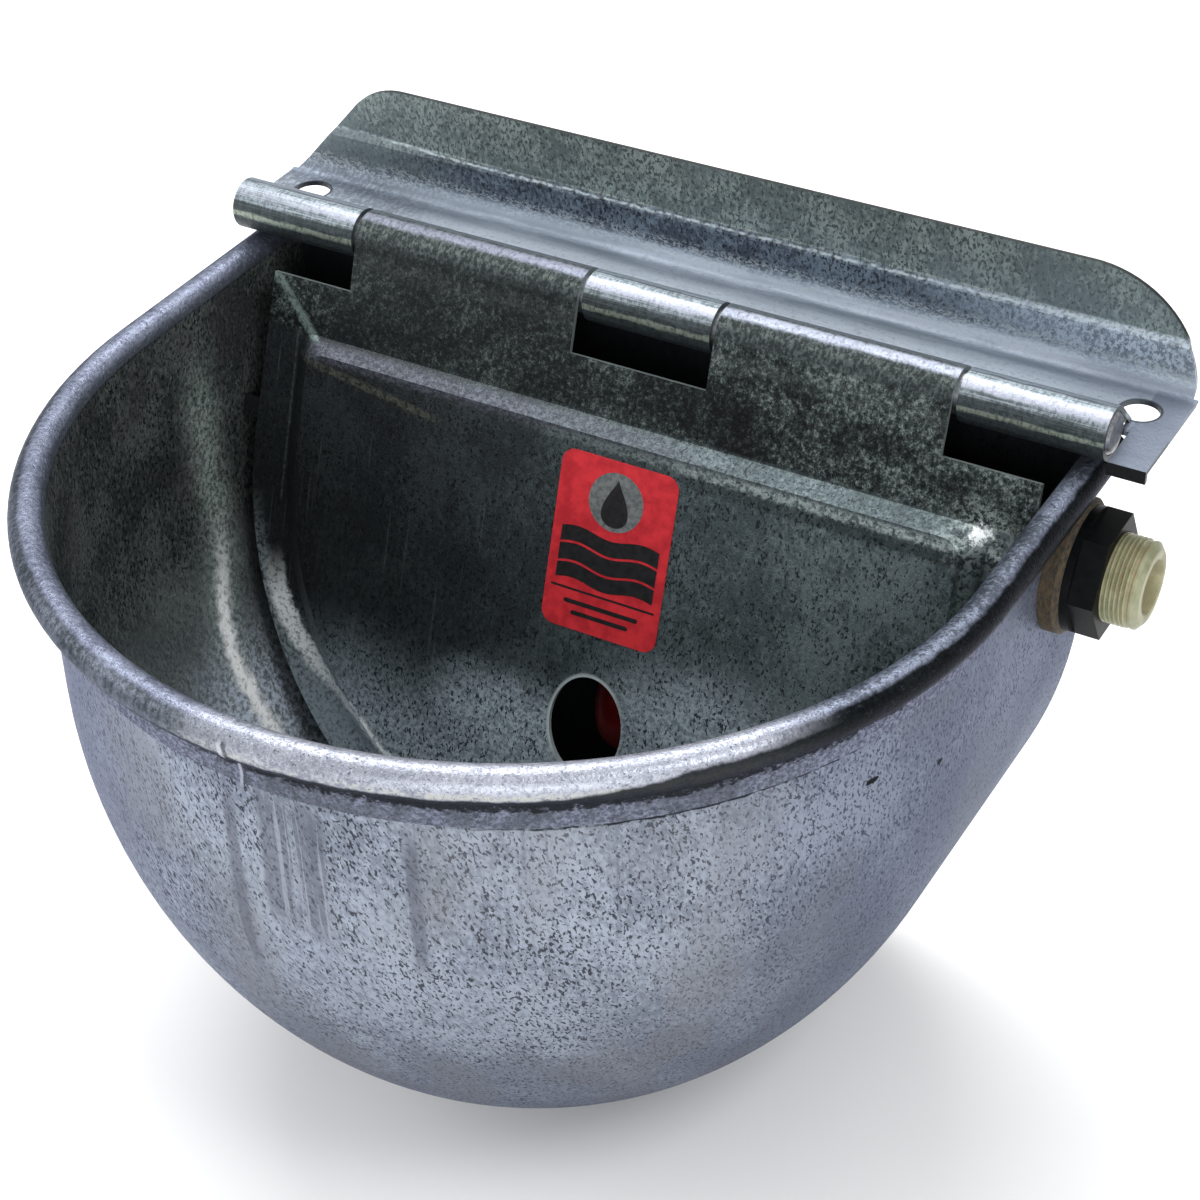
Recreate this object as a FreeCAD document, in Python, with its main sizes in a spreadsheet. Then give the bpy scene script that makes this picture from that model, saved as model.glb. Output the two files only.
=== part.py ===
"""Automatic stock waterer: a drawn, galvanised steel bowl with a rolled rim, a bracket that hangs it on a
wall or rail, and a hinged cover that keeps animals away from the float valve behind it.

Frame: millimetres, X to the right, Y to the back, Z up.  The origin is where the bracket's upright flange lies
on the wall, at half the bowl's width.  Positions below are first given from the middle of the rolled rim's
plane, and place() moves each piece from there to the wall's frame.
"""

import FreeCAD, Part
import math
import os
import Sketcher

V = FreeCAD.Vector
doc = FreeCAD.newDocument("StockWaterer")
sheet = doc.addObject("Spreadsheet::Sheet", "Sizes")


class Size:
    """A number together with the sheet formula that it stands for."""

    def __init__(self, number, formula):
        self.v = float(number)
        self.f = formula

    def __add__(self, other):
        o = as_size(other)
        return Size(self.v + o.v, "(%s + %s)" % (self.f, o.f))

    def __radd__(self, other):
        return as_size(other) + self

    def __sub__(self, other):
        o = as_size(other)
        return Size(self.v - o.v, "(%s - %s)" % (self.f, o.f))

    def __rsub__(self, other):
        return as_size(other) - self

    def __mul__(self, other):
        o = as_size(other)
        return Size(self.v * o.v, "(%s * %s)" % (self.f, o.f))

    def __rmul__(self, other):
        return as_size(other) * self

    def __truediv__(self, other):
        o = as_size(other)
        return Size(self.v / o.v, "(%s / %s)" % (self.f, o.f))

    def __neg__(self):
        return Size(-self.v, "(0 - %s)" % self.f)


def as_size(x):
    return x if isinstance(x, Size) else Size(x, repr(float(x)))


def root(x):
    return Size(math.sqrt(x.v), "sqrt(%s)" % x.f)


def sine(deg):
    return Size(math.sin(math.radians(deg.v)), "sin(%s)" % deg.f)


def cosine(deg):
    return Size(math.cos(math.radians(deg.v)), "cos(%s)" % deg.f)


rows = []


def size(alias, number, note):
    """One driving dimension: a row of the sheet, read back as a Size."""
    row = len(rows) + 1
    rows.append(alias)
    sheet.set("A%d" % row, note)
    sheet.set("B%d" % row, repr(number))
    sheet.setAlias("B%d" % row, alias)
    return Size(number, "Sizes.%s" % alias)


# Bowl
bowl_radius = size("bowl_radius", 139.2, "outer radius of the bowl: plan, section and front dome")
sheet_bowl = size("sheet_bowl", 1.4, "bowl sheet")
bowl_straight = size("bowl_straight", 50.0, "height of the upright part of the side walls")
bottom_sink = size("bottom_sink", 26.0, "centre of the round bottom below the walls' upright part")
bottom_less = size("bottom_less", 9.2, "how much smaller the bottom's radius is than the bowl's")
bowl_centre = size("bowl_centre", 6.0, "Y of the front dome's centre")
bowl_back = size("bowl_back", 91.0, "Y of the bowl's back edge")
bead_radius = size("bead_radius", 5.2, "outer radius of the rolled rim")
skirt_out = size("skirt_out", 1.8, "how far the rim's tail stands off the wall")
skirt_drop = size("skirt_drop", 17.0, "lower edge of the rim's tail below the rim's centre line")
skirt_bevel = size("skirt_bevel", 0.9, "bevel at the tail's lower edge")
# Bracket
sheet_bracket = size("sheet_bracket", 1.5, "bracket sheet")
ledge_top = size("ledge_top", 10.5, "top of the ledge")
ear_left = size("ear_left", 4.8, "left ear, beyond the knuckle")
ear_right = size("ear_right", 13.2, "right ear, beyond the knuckle")
flange_front = size("flange_front", 113.0, "front face of the upper flange")
flange_top = size("flange_top", 45.0, "top edge of the flange")
strip_step = size("strip_step", 1.3, "how far the strip under the crease stands forward")
crease_height = size("crease_height", 25.0, "height of the crease in the flange")
crease_rise = size("crease_rise", 2.4, "height of the crease's slope")
ledge_bend = size("ledge_bend", 5.0, "bend between ledge and flange")
flange_inset = size("flange_inset", 1.6, "flange's right edge, in from the ear's")
corner_right = size("corner_right", 35.0, "radius of the flange's right corner")
corner_left = size("corner_left", 24.0, "radius of the flange's left corner")
corner_slope = size("corner_slope", 49.0, "slope of the flange's left edge, degrees")
wall_face = size("wall_face", 36.0, "origin's height over the rim's centre line")
ear_front = size("ear_front", 67.5, "front edge of the right ear")
ear_lip = size("ear_lip", 4.2, "lip at the ear's front edge")
ear_root = size("ear_root", 7.0, "ear's joint beside the right knuckle")
ear_left_front = size("ear_left_front", 88.0, "front edge of the left ear")
ear_hole = size("ear_hole", 5.8, "radius of the hanging holes")
hole_right_out = size("hole_right_out", 0.5, "right hanging hole, out from the knuckle's end")
hole_right_back = size("hole_right_back", 96.9, "Y of the right hanging hole")
hole_left_in = size("hole_left_in", 9.7, "left hanging hole, in from the knuckle's end")
hole_left_back = size("hole_left_back", 99.0, "Y of the left hanging hole")
# Hinge
hinge_back = size("hinge_back", 76.5, "Y of the hinge axis")
hinge_up = size("hinge_up", 14.2, "Z of the hinge axis")
rod_radius = size("rod_radius", 6.5, "hinge rod")
rod_fit = size("rod_fit", 0.08, "running clearance round the hinge rod")
rod_over = size("rod_over", 0.8, "how far the hinge rod stands out of a knuckle")
slope_angle = size("slope_angle", 45.0, "slope from knuckle to ledge, degrees")
slope_start = size("slope_start", 5.8, "start of the slope behind the cover's curls, from the tangent point")
knuckle_long = size("knuckle_long", 44.2, "length of the outer knuckles")
knuckle_mid = size("knuckle_mid", 21.7, "half length of the middle knuckle")
knuckle_side = size("knuckle_side", 3.0, "middle knuckle's centre, right of the middle")
knuckle_more = size("knuckle_more", 1.5, "how much longer the left knuckle is than the right one")
knuckle_gap = size("knuckle_gap", 1.7, "gap between a knuckle and the cover's curl beside it")
# Cover
sheet_cover = size("sheet_cover", 1.5, "cover sheet")
cover_tilt = size("cover_tilt", 18.5, "cover's slope from upright, degrees")
cover_gap = size("cover_gap", 4.8, "half of the cover's play between the bowl's inner walls")
cover_side = size("cover_side", 1.9, "cover's middle, right of the bowl's")
cover_centre = size("cover_centre", 74.0, "centre of the cover's lower edge, below the hinge axis")
cover_narrow = size("cover_narrow", 1.5, "how much closer the cover's upper corners are than its widest place")
notch_deep = size("notch_deep", 17.5, "lower edge of the notches, below the hinge axis")
panel_border = size("panel_border", 13.5, "flat border round the raised panel")
panel_top = size("panel_top", 34.5, "upper edge of the raised panel, below the hinge axis")
panel_out = size("panel_out", 5.0, "how far the panel stands out")
panel_slope = size("panel_slope", 6.5, "width of the slope round the panel")
panel_fall = size("panel_fall", 4.5, "width of the slope at the panel's upper edge")
panel_corner = size("panel_corner", 6.0, "radius of the panel's upper corners")
water_wide = size("water_wide", 12.75, "half width of the water hole")
water_tall = size("water_tall", 16.5, "half height of the water hole")
water_side = size("water_side", 5.5, "centre of the water hole, right of the middle")
water_down = size("water_down", 132.0, "centre of the water hole, below the hinge axis")
stop_gap = size("stop_gap", 0.3, "cover to its stops")
stop_down = size("stop_down", 64.5, "middle of the stops, below the hinge axis")
stop_tall = size("stop_tall", 7.0, "height of a stop")
stop_behind = size("stop_behind", 6.0, "how far a stop reaches behind the cover's edge")
stop_foot = size("stop_foot", 4.5, "length of a stop's welded foot")
# Rear wall
rear_top = size("rear_top", 13.0, "width of the rear wall's folded top")
rear_inset = size("rear_inset", 8.0, "folded top's end, in from the bowl wall")
# Valve
valve_back = size("valve_back", 71.0, "Y of the valve's axis")
valve_down = size("valve_down", 29.3, "valve axis below the rim's centre line")
thread_radius = size("thread_radius", 13.4, "radius over the inlet thread")
thread_under = size("thread_under", 0.2, "how far the shank under the nut is below the thread")
thread_fit = size("thread_fit", 0.2, "clearance of the thread in the wall, washer, gasket and nut")
inlet_reach = size("inlet_reach", 26.8, "inlet's reach beyond the outer wall")
inlet_bore = size("inlet_bore", 8.4, "radius of the inlet's bore")
inlet_bevel = size("inlet_bevel", 2.2, "bevel at the inlet's mouth")
flange_ring = size("flange_ring", 3.6, "valve's inner flange and gasket, beyond the thread")
flange_thick = size("flange_thick", 2.0, "thickness of the valve's inner flange")
gasket_thick = size("gasket_thick", 1.2, "rubber gasket")
washer_ring = size("washer_ring", 7.1, "fibre washer, beyond the thread")
skirt_notch = size("skirt_notch", 0.5, "clearance of the washer in the cut-out of the bowl's skirt")
washer_thick = size("washer_thick", 6.0, "fibre washer")
collar_ring = size("collar_ring", 5.4, "nut's collar, beyond the thread")
nut_collar_thick = size("nut_collar_thick", 2.4, "nut's collar")
nut_wall = size("nut_wall", 3.0, "nut's flats, beyond the thread")
nut_thick = size("nut_thick", 7.6, "nut's hexagon")
nozzle_radius = size("nozzle_radius", 9.0, "valve's inner nozzle")
nozzle_reach = size("nozzle_reach", 14.6, "nozzle's reach from the inner flange")
plunger_radius = size("plunger_radius", 5.0, "plunger")
plunger_fit = size("plunger_fit", 0.06, "running clearance round the plunger")
plunger_long = size("plunger_long", 8.8, "plunger")
seal_thick = size("seal_thick", 2.0, "rubber seal on the plunger")
seal_inset = size("seal_inset", 0.5, "seal's edge inside the plunger's")
seat_gap = size("seat_gap", 5.5, "seal to seat with the valve open")
seat_bore = size("seat_bore", 2.6, "radius of the seat's orifice")
seat_wall = size("seat_wall", 3.05, "wall that carries the orifice")
# Float
pivot_drop = size("pivot_drop", 12.0, "lever pivot below the valve's axis")
pivot_in = size("pivot_in", 25.0, "lever pivot from the bowl's inner wall")
pivot_radius = size("pivot_radius", 2.0, "pivot pin")
pivot_fit = size("pivot_fit", 0.06, "running clearance round the pivot pin")
clevis_gap = size("clevis_gap", 5.6, "half gap between the clevis cheeks")
clevis_thick = size("clevis_thick", 2.8, "clevis cheek")
clevis_round = size("clevis_round", 6.0, "radius of a cheek round the pivot")
pin_over = size("pin_over", 1.4, "pivot pin's end beyond a cheek")
lever_thick = size("lever_thick", 3.0, "lever plate")
lever_hub = size("lever_hub", 5.2, "lever hub radius")
lever_wide = size("lever_wide", 7.0, "width of the lever's arm")
lever_side = size("lever_side", 0.3, "side play of the hub between the cheeks")
finger_wide = size("finger_wide", 2.0, "half width of the finger that pushes the plunger")
finger_up = size("finger_up", 13.5, "finger's tip above the pivot")
finger_gap = size("finger_gap", 0.4, "finger to plunger")
heel_long = size("heel_long", 5.0, "reach of the lever's heel under the nozzle")
heel_tall = size("heel_tall", 5.0, "height of the heel")
heel_gap = size("heel_gap", 0.3, "heel to the nozzle it stops on, valve open")
float_radius = size("float_radius", 20.0, "float")
float_long = size("float_long", 80.0, "float")
float_round = size("float_round", 8.0, "rounding of the float's ends")
float_right = size("float_right", 70.0, "X of the float's right end, valve open")
float_down = size("float_down", 128.0, "float's axis below the rim's centre line, valve open")
float_back = size("float_back", 69.0, "Y of the float's axis")
lug_long = size("lug_long", 15.0, "float's lug")
lug_tall = size("lug_tall", 8.0, "half height of the float's lug")
lug_half = size("lug_half", 5.5, "half thickness of the float's lug")
lug_fit = size("lug_fit", 0.15, "clearance of the lever's end in the lug's slot")
lug_pin = size("lug_pin", 2.0, "radius of the pin through lug and lever")

doc.recompute()

# Sizes that follow from the ones above
inner_radius = bowl_radius - sheet_bowl
cover_half = inner_radius - cover_gap
stop_wide = cover_gap + stop_behind
bead_x = inner_radius + bead_radius
knuckle_end = bead_x + bead_radius
knuckle_inner = knuckle_end - knuckle_long
bracket_left = knuckle_end + ear_left
bracket_right = knuckle_end + ear_right
flange_right = bracket_right - flange_inset
hole_right = knuckle_end + hole_right_out
hole_left = knuckle_end - hole_left_in
rod_length = 2 * (knuckle_end + rod_over)
skirt_x = bowl_radius + skirt_out
skirt_meet = root(bead_radius * bead_radius - (bead_x - skirt_x) * (bead_x - skirt_x))
curl_in = rod_radius + rod_fit
curl_out_bracket = curl_in + sheet_bracket
curl_out_cover = curl_in + sheet_cover
ledge_under = ledge_top - sheet_bracket
flange_radius = thread_radius + flange_ring
washer_radius = thread_radius + washer_ring
nut_collar = thread_radius + collar_ring
nut_flats = thread_radius + nut_wall
wall_z = -bowl_straight
# Each side wall runs down in one arc, centred beyond the axis, that joins the round bottom smoothly.
bottom_z = wall_z - bottom_sink
shoulder = (bottom_sink * bottom_sink - bottom_less * bottom_less) / (2 * bottom_less)
join_x = shoulder / (shoulder + bottom_less)
join_z = bottom_sink / (shoulder + bottom_less)
join_inner = (join_x * (inner_radius + shoulder) - shoulder, wall_z - join_z * (inner_radius + shoulder))
join_outer = (join_x * (bowl_radius + shoulder) - shoulder, wall_z - join_z * (bowl_radius + shoulder))
bottom_inner = bottom_z + bottom_less - inner_radius
bottom_outer = bottom_z + bottom_less - bowl_radius


def check(obj):
    """Stops the build if an object failed to recompute."""
    bad = [s for s in obj.State if s in ("Invalid", "Error")]
    if bad:
        raise RuntimeError("%s: %s" % (obj.Label, obj.State))


def new_body(label):
    body = doc.addObject("PartDesign::Body", "Body_" + label)
    body.Label = label
    return body


def plane(body, role):
    return [f for f in body.Origin.OriginFeatures if f.Role == role][0]


def bind(obj, prop, s):
    s = as_size(s)
    if "Sizes." in s.f:
        obj.setExpression(prop, s.f)
    return s.v


def new_sketch(body, role, name, off=0.0):
    """A sketch on one of the body's origin planes, moved along the plane's normal by off."""
    sk = body.newObject("Sketcher::SketchObject", name)
    sk.AttachmentSupport = [(plane(body, role), "")]
    sk.MapMode = "FlatFace"
    off = as_size(off)
    sk.AttachmentOffset = FreeCAD.Placement(V(0, 0, off.v), FreeCAD.Rotation())
    bind(sk, "AttachmentOffset.Base.z", off)
    return sk


def pin_point(sk, geo, pos, x, y):
    """Dimensions one point of a sketch from the sketch's origin."""
    for kind, s in (("DistanceX", as_size(x)), ("DistanceY", as_size(y))):
        i = sk.addConstraint(Sketcher.Constraint(kind, geo, pos, s.v))
        bind(sk, "Constraints[%d]" % i, s)


def loop(sk, steps):
    """Closes a profile through steps: ("line", x, y) runs straight to a point, ("arc", x, y, cx, cy, turn)
    runs to a point about a centre, turn +1 counterclockwise or -1 clockwise."""
    n = len(steps)
    ends = [(as_size(s[1]), as_size(s[2])) for s in steps]
    ids = []
    for i, s in enumerate(steps):
        ax, ay = ends[i - 1]
        bx, by = ends[i]
        if s[0] == "line":
            ids.append(sk.addGeometry(Part.LineSegment(V(ax.v, ay.v, 0), V(bx.v, by.v, 0)), False))
            continue
        cx, cy, turn = as_size(s[3]), as_size(s[4]), s[5]
        start = math.atan2(ay.v - cy.v, ax.v - cx.v)
        stop = math.atan2(by.v - cy.v, bx.v - cx.v)
        radius = math.hypot(bx.v - cx.v, by.v - cy.v)
        circle = Part.Circle(V(cx.v, cy.v, 0), V(0, 0, 1), radius)
        first, last = (start, stop) if turn > 0 else (stop, start)
        if last <= first:
            last += 2 * math.pi
        ids.append(sk.addGeometry(Part.ArcOfCircle(circle, first, last), False))
    for i, s in enumerate(steps):
        turn_here = s[5] if s[0] == "arc" else 1
        nxt = (i + 1) % n
        turn_next = steps[nxt][5] if steps[nxt][0] == "arc" else 1
        here = 2 if turn_here > 0 else 1
        there = 1 if turn_next > 0 else 2
        sk.addConstraint(Sketcher.Constraint("Coincident", ids[i], here, ids[nxt], there))
        pin_point(sk, ids[i], here, ends[i][0], ends[i][1])
        if s[0] == "arc":
            cx, cy = as_size(s[3]), as_size(s[4])
            level = abs(ends[i][0].v - ends[i - 1][0].v) < abs(ends[i][1].v - ends[i - 1][1].v)
            kind, c = ("DistanceX", cx) if level else ("DistanceY", cy)
            k = sk.addConstraint(Sketcher.Constraint(kind, ids[i], 3, c.v))
            bind(sk, "Constraints[%d]" % k, c)
    return ids


def circle(sk, x, y, radius):
    x, y, radius = as_size(x), as_size(y), as_size(radius)
    g = sk.addGeometry(Part.Circle(V(x.v, y.v, 0), V(0, 0, 1), radius.v), False)
    pin_point(sk, g, 3, x, y)
    k = sk.addConstraint(Sketcher.Constraint("Radius", g, radius.v))
    bind(sk, "Constraints[%d]" % k, radius)
    return g


def rectangle(sk, x0, y0, x1, y1):
    return loop(sk, [("line", x1, y0), ("line", x1, y1), ("line", x0, y1), ("line", x0, y0)])


def pad(body, sk, length, reverse=False, name="Pad"):
    p = body.newObject("PartDesign::Pad", name)
    p.Profile = sk
    p.Type = "Length"
    p.Length = as_size(length).v
    bind(p, "Length", length)
    p.Reversed = reverse
    body.Tip = p
    return p


def pocket(body, sk, length, reverse=False, name="Pocket"):
    doc.recompute()
    before = body.Shape.Volume
    p = body.newObject("PartDesign::Pocket", name)
    p.Profile = sk
    p.Type = "Length"
    p.Length = as_size(length).v
    bind(p, "Length", length)
    p.Reversed = reverse
    body.Tip = p
    doc.recompute()
    if body.Shape.Volume > before - 0.01:
        raise RuntimeError("%s in %s cuts nothing" % (name, body.Label))
    return p


def revolve(body, sk, angle=360.0, axis="V_Axis", reverse=False, name="Revolution"):
    r = body.newObject("PartDesign::Revolution", name)
    r.Profile = sk
    r.ReferenceAxis = (sk, [axis])
    r.Angle = angle
    r.Reversed = reverse
    body.Tip = r
    return r


def place(body, x, y, z):
    """Puts a body's own origin at a point given from the middle of the rim's plane."""
    p = [as_size(v) for v in (x, y - flange_front - sheet_bracket, z - wall_face)]
    body.Placement = FreeCAD.Placement(V(p[0].v, p[1].v, p[2].v), body.Placement.Rotation)
    for prop, s in zip(("x", "y", "z"), p):
        bind(body, "Placement.Base." + prop, s)


# Bowl: the wall with its rolled rim, turned through half a circle for the front dome, then carried straight
# to the back edge.
bowl = new_body("bowl")


def wall_half(sk):
    """The wall's section on the +X side of the dome's axis, rim and tail included."""
    loop(sk, [
        ("arc", join_inner[0], join_inner[1], 0, bottom_z, 1),
        ("arc", inner_radius, wall_z, -shoulder, wall_z, 1),
        ("line", inner_radius, 0),
        ("arc", skirt_x, -skirt_meet, bead_x, 0, -1),
        ("line", skirt_x, -(skirt_drop - skirt_bevel)),
        ("line", bowl_radius, -skirt_drop),
        ("line", bowl_radius, wall_z),
        ("arc", join_outer[0], join_outer[1], -shoulder, wall_z, -1),
        ("arc", 0, bottom_outer, 0, bottom_z, -1),
        ("line", 0, bottom_inner),
    ])
    circle(sk, bead_x, 0, bead_radius - sheet_bowl)


dome_sketch = new_sketch(bowl, "XZ_Plane", "DomeSection", -bowl_centre)
wall_half(dome_sketch)
revolve(bowl, dome_sketch, 180.0, "V_Axis", True, "Dome")

run_sketch = new_sketch(bowl, "XZ_Plane", "RunSection", -bowl_centre)
loop(run_sketch, [
    ("line", inner_radius, 0),
    ("arc", skirt_x, -skirt_meet, bead_x, 0, -1),
    ("line", skirt_x, -(skirt_drop - skirt_bevel)),
    ("line", bowl_radius, -skirt_drop),
    ("line", bowl_radius, wall_z),
    ("arc", join_outer[0], join_outer[1], -shoulder, wall_z, -1),
    ("arc", -join_outer[0], join_outer[1], 0, bottom_z, -1),
    ("arc", -bowl_radius, wall_z, shoulder, wall_z, -1),
    ("line", -bowl_radius, -skirt_drop),
    ("line", -skirt_x, -(skirt_drop - skirt_bevel)),
    ("line", -skirt_x, -skirt_meet),
    ("arc", -inner_radius, 0, -bead_x, 0, -1),
    ("line", -inner_radius, wall_z),
    ("arc", -join_inner[0], join_inner[1], shoulder, wall_z, 1),
    ("arc", join_inner[0], join_inner[1], 0, bottom_z, 1),
    ("arc", inner_radius, wall_z, -shoulder, wall_z, 1),
])
for side in (1, -1):
    circle(run_sketch, side * bead_x, 0, bead_radius - sheet_bowl)
pad(bowl, run_sketch, bowl_back - bowl_centre, True, "Run")

inlet_sketch = new_sketch(bowl, "YZ_Plane", "InletHole", bowl_radius + 2 * bead_radius)
circle(inlet_sketch, valve_back, -valve_down, thread_radius + thread_fit)
pocket(bowl, inlet_sketch, 4 * bead_radius, False, "InletHole")
skirt_sketch = new_sketch(bowl, "YZ_Plane", "SkirtCutout", bowl_radius)
circle(skirt_sketch, valve_back, -valve_down, washer_radius + skirt_notch)
pocket(bowl, skirt_sketch, 2 * bead_radius, True, "SkirtCutout")
place(bowl, 0, 0, 0)

# Rear wall: the plate that closes the bowl behind the float, folded back under the ledge at its top.
rear = new_body("rear_wall")
rear_sketch = new_sketch(rear, "XZ_Plane", "RearPlate", -bowl_back)
loop(rear_sketch, [
    ("line", inner_radius, ledge_under - sheet_bowl),
    ("line", -inner_radius, ledge_under - sheet_bowl),
    ("line", -inner_radius, wall_z),
    ("arc", -join_inner[0], join_inner[1], shoulder, wall_z, 1),
    ("arc", join_inner[0], join_inner[1], 0, bottom_z, 1),
    ("arc", inner_radius, wall_z, -shoulder, wall_z, 1),
])
pad(rear, rear_sketch, sheet_bowl, False, "RearPlate")
fold_sketch = new_sketch(rear, "XY_Plane", "Fold", ledge_under - sheet_bowl)
fold_half = inner_radius - rear_inset
rectangle(fold_sketch, -fold_half, bowl_back - sheet_bowl, fold_half, bowl_back + rear_top)
pad(rear, fold_sketch, sheet_bowl, False, "Fold")
place(rear, 0, 0, 0)

# Bracket: one sheet with a ledge, an upright flange with round corners, two hanging holes and three knuckles
# curled round the hinge rod.
bracket = new_body("mounting_bracket")
down_y, down_z = cosine(slope_angle), -sine(slope_angle)
up_y, up_z = sine(slope_angle), cosine(slope_angle)
top_y = hinge_back + curl_out_bracket * up_y
top_z = hinge_up + curl_out_bracket * up_z
under_y = hinge_back + curl_in * up_y
under_z = hinge_up + curl_in * up_z
meet_top = (top_z - ledge_top) / sine(slope_angle)
meet_under = (under_z - ledge_under) / sine(slope_angle)
slope_top_y = top_y + meet_top * down_y
slope_under_y = under_y + meet_under * down_y
strip_front = flange_front - strip_step

ledge_sketch = new_sketch(bracket, "YZ_Plane", "LedgeAndFlange", -bracket_left)
loop(ledge_sketch, [
    ("line", strip_front - ledge_bend, ledge_top),
    ("arc", strip_front, ledge_top + ledge_bend, strip_front - ledge_bend, ledge_top + ledge_bend, 1),
    ("line", strip_front, crease_height),
    ("line", flange_front, crease_height + crease_rise),
    ("line", flange_front, flange_top),
    ("line", flange_front + sheet_bracket, flange_top),
    ("line", flange_front + sheet_bracket, crease_height + crease_rise - sheet_bracket / 4),
    ("line", strip_front + sheet_bracket, crease_height - sheet_bracket / 4),
    ("line", strip_front + sheet_bracket, ledge_top + ledge_bend),
    ("arc", strip_front - ledge_bend, ledge_under, strip_front - ledge_bend, ledge_top + ledge_bend, -1),
    ("line", slope_under_y, ledge_under),
    ("line", slope_top_y, ledge_top),
])
pad(bracket, ledge_sketch, bracket_left + bracket_right, False, "LedgeAndFlange")

slope_sketch = new_sketch(bracket, "YZ_Plane", "Slope", -knuckle_end)
loop(slope_sketch, [
    ("line", top_y + slope_start * down_y, top_z + slope_start * down_z),
    ("line", slope_top_y, ledge_top),
    ("line", slope_under_y, ledge_under),
    ("line", under_y + slope_start * down_y, under_z + slope_start * down_z),
])
pad(bracket, slope_sketch, 2 * knuckle_end, False, "Slope")

curl_stop = (Size(0.94, "0.94"), Size(-0.342, "-0.342"))
for name, start, end in (
    ("LeftKnuckle", -knuckle_end, knuckle_more - knuckle_inner),
    ("MiddleKnuckle", knuckle_side - knuckle_mid, knuckle_side + knuckle_mid),
    ("RightKnuckle", knuckle_inner, knuckle_end),
):
    sk = new_sketch(bracket, "YZ_Plane", name, start)
    loop(sk, [
        ("line", under_y, under_z),
        ("arc", hinge_back + curl_in * curl_stop[0], hinge_up + curl_in * curl_stop[1], hinge_back, hinge_up, 1),
        ("line", hinge_back + curl_out_bracket * curl_stop[0], hinge_up + curl_out_bracket * curl_stop[1]),
        ("arc", top_y, top_z, hinge_back, hinge_up, -1),
        ("line", top_y + (slope_start + 1) * down_y, top_z + (slope_start + 1) * down_z),
        ("line", under_y + (slope_start + 1) * down_y, under_z + (slope_start + 1) * down_z),
    ])
    pad(bracket, sk, end - start, False, name)

ear_sketch = new_sketch(bracket, "YZ_Plane", "RightEar", knuckle_end + knuckle_gap)
loop(ear_sketch, [
    ("line", ear_front, ledge_top),
    ("line", ear_front, ledge_top - ear_lip),
    ("line", ear_front + sheet_bracket, ledge_top - ear_lip),
    ("line", ear_front + sheet_bracket, ledge_under),
    ("line", slope_top_y + 1, ledge_under),
    ("line", slope_top_y + 1, ledge_top),
])
pad(bracket, ear_sketch, bracket_right - knuckle_end - knuckle_gap, False, "RightEar")
web_sketch = new_sketch(bracket, "XY_Plane", "RightEarRoot", ledge_under)
rectangle(web_sketch, knuckle_end - 1, slope_top_y - ear_root, knuckle_end + knuckle_gap + 1, slope_top_y + 1)
pad(bracket, web_sketch, sheet_bracket, False, "RightEarRoot")

ear_left_sketch = new_sketch(bracket, "XY_Plane", "LeftEar", ledge_under)
loop(ear_left_sketch, [
    ("line", -knuckle_end - knuckle_gap, ear_left_front),
    ("line", -knuckle_end - knuckle_gap, slope_top_y + 1),
    ("line", -bracket_left, slope_top_y + 1),
    ("line", -bracket_left, ear_left_front + (bracket_left - knuckle_end) / 2),
])
pad(bracket, ear_left_sketch, sheet_bracket, False, "LeftEar")

cut_from = flange_front - 2 * strip_step - sheet_bracket
cut_deep = 4 * sheet_bracket + 2 * strip_step
right_corner = new_sketch(bracket, "XZ_Plane", "RightCorner", -cut_from)
corner_x, corner_z = flange_right - corner_right, flange_top - corner_right
loop(right_corner, [
    ("line", bracket_right + 2, flange_top + 2),
    ("line", corner_x, flange_top + 2),
    ("line", corner_x, flange_top),
    ("arc", flange_right, corner_z, corner_x, corner_z, -1),
    ("line", bracket_right + 2, corner_z),
])
pocket(bracket, right_corner, cut_deep, False, "RightCorner")

left_corner = new_sketch(bracket, "XZ_Plane", "LeftCorner", -cut_from)
corner_y = flange_top - corner_left
arc_y = corner_y + corner_left * cosine(corner_slope)
fall = sine(corner_slope) / cosine(corner_slope)
corner_x = -bracket_left + (arc_y - ledge_under) / fall + corner_left * sine(corner_slope)
loop(left_corner, [
    ("line", -bracket_left - 2, flange_top + 2),
    ("line", -bracket_left - 2, ledge_under),
    ("line", -bracket_left, ledge_under),
    ("line", corner_x - corner_left * sine(corner_slope), arc_y),
    ("arc", corner_x, flange_top, corner_x, corner_y, -1),
    ("line", corner_x, flange_top + 2),
])
pocket(bracket, left_corner, cut_deep, False, "LeftCorner")

holes_sketch = new_sketch(bracket, "XY_Plane", "HangingHoles", ledge_top + 2 * sheet_bracket)
circle(holes_sketch, hole_right, hole_right_back, ear_hole)
circle(holes_sketch, -hole_left, hole_left_back, ear_hole)
pocket(bracket, holes_sketch, 4 * sheet_bracket, False, "HangingHoles")
place(bracket, 0, 0, 0)

# Hinge rod: held in the bracket's knuckles, with bevelled ends.
rod = new_body("hinge_rod")
rod_sketch = new_sketch(rod, "XZ_Plane", "RodSection")
rod_bevel = rod_radius / 6
loop(rod_sketch, [
    ("line", -rod_length / 2, rod_radius - rod_bevel),
    ("line", -rod_length / 2 + rod_bevel, rod_radius),
    ("line", rod_length / 2 - rod_bevel, rod_radius),
    ("line", rod_length / 2, rod_radius - rod_bevel),
    ("line", rod_length / 2, 0),
    ("line", -rod_length / 2, 0),
])
revolve(rod, rod_sketch, 360.0, "H_Axis", False, "Rod")
place(rod, 0, hinge_back, hinge_up)

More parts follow.
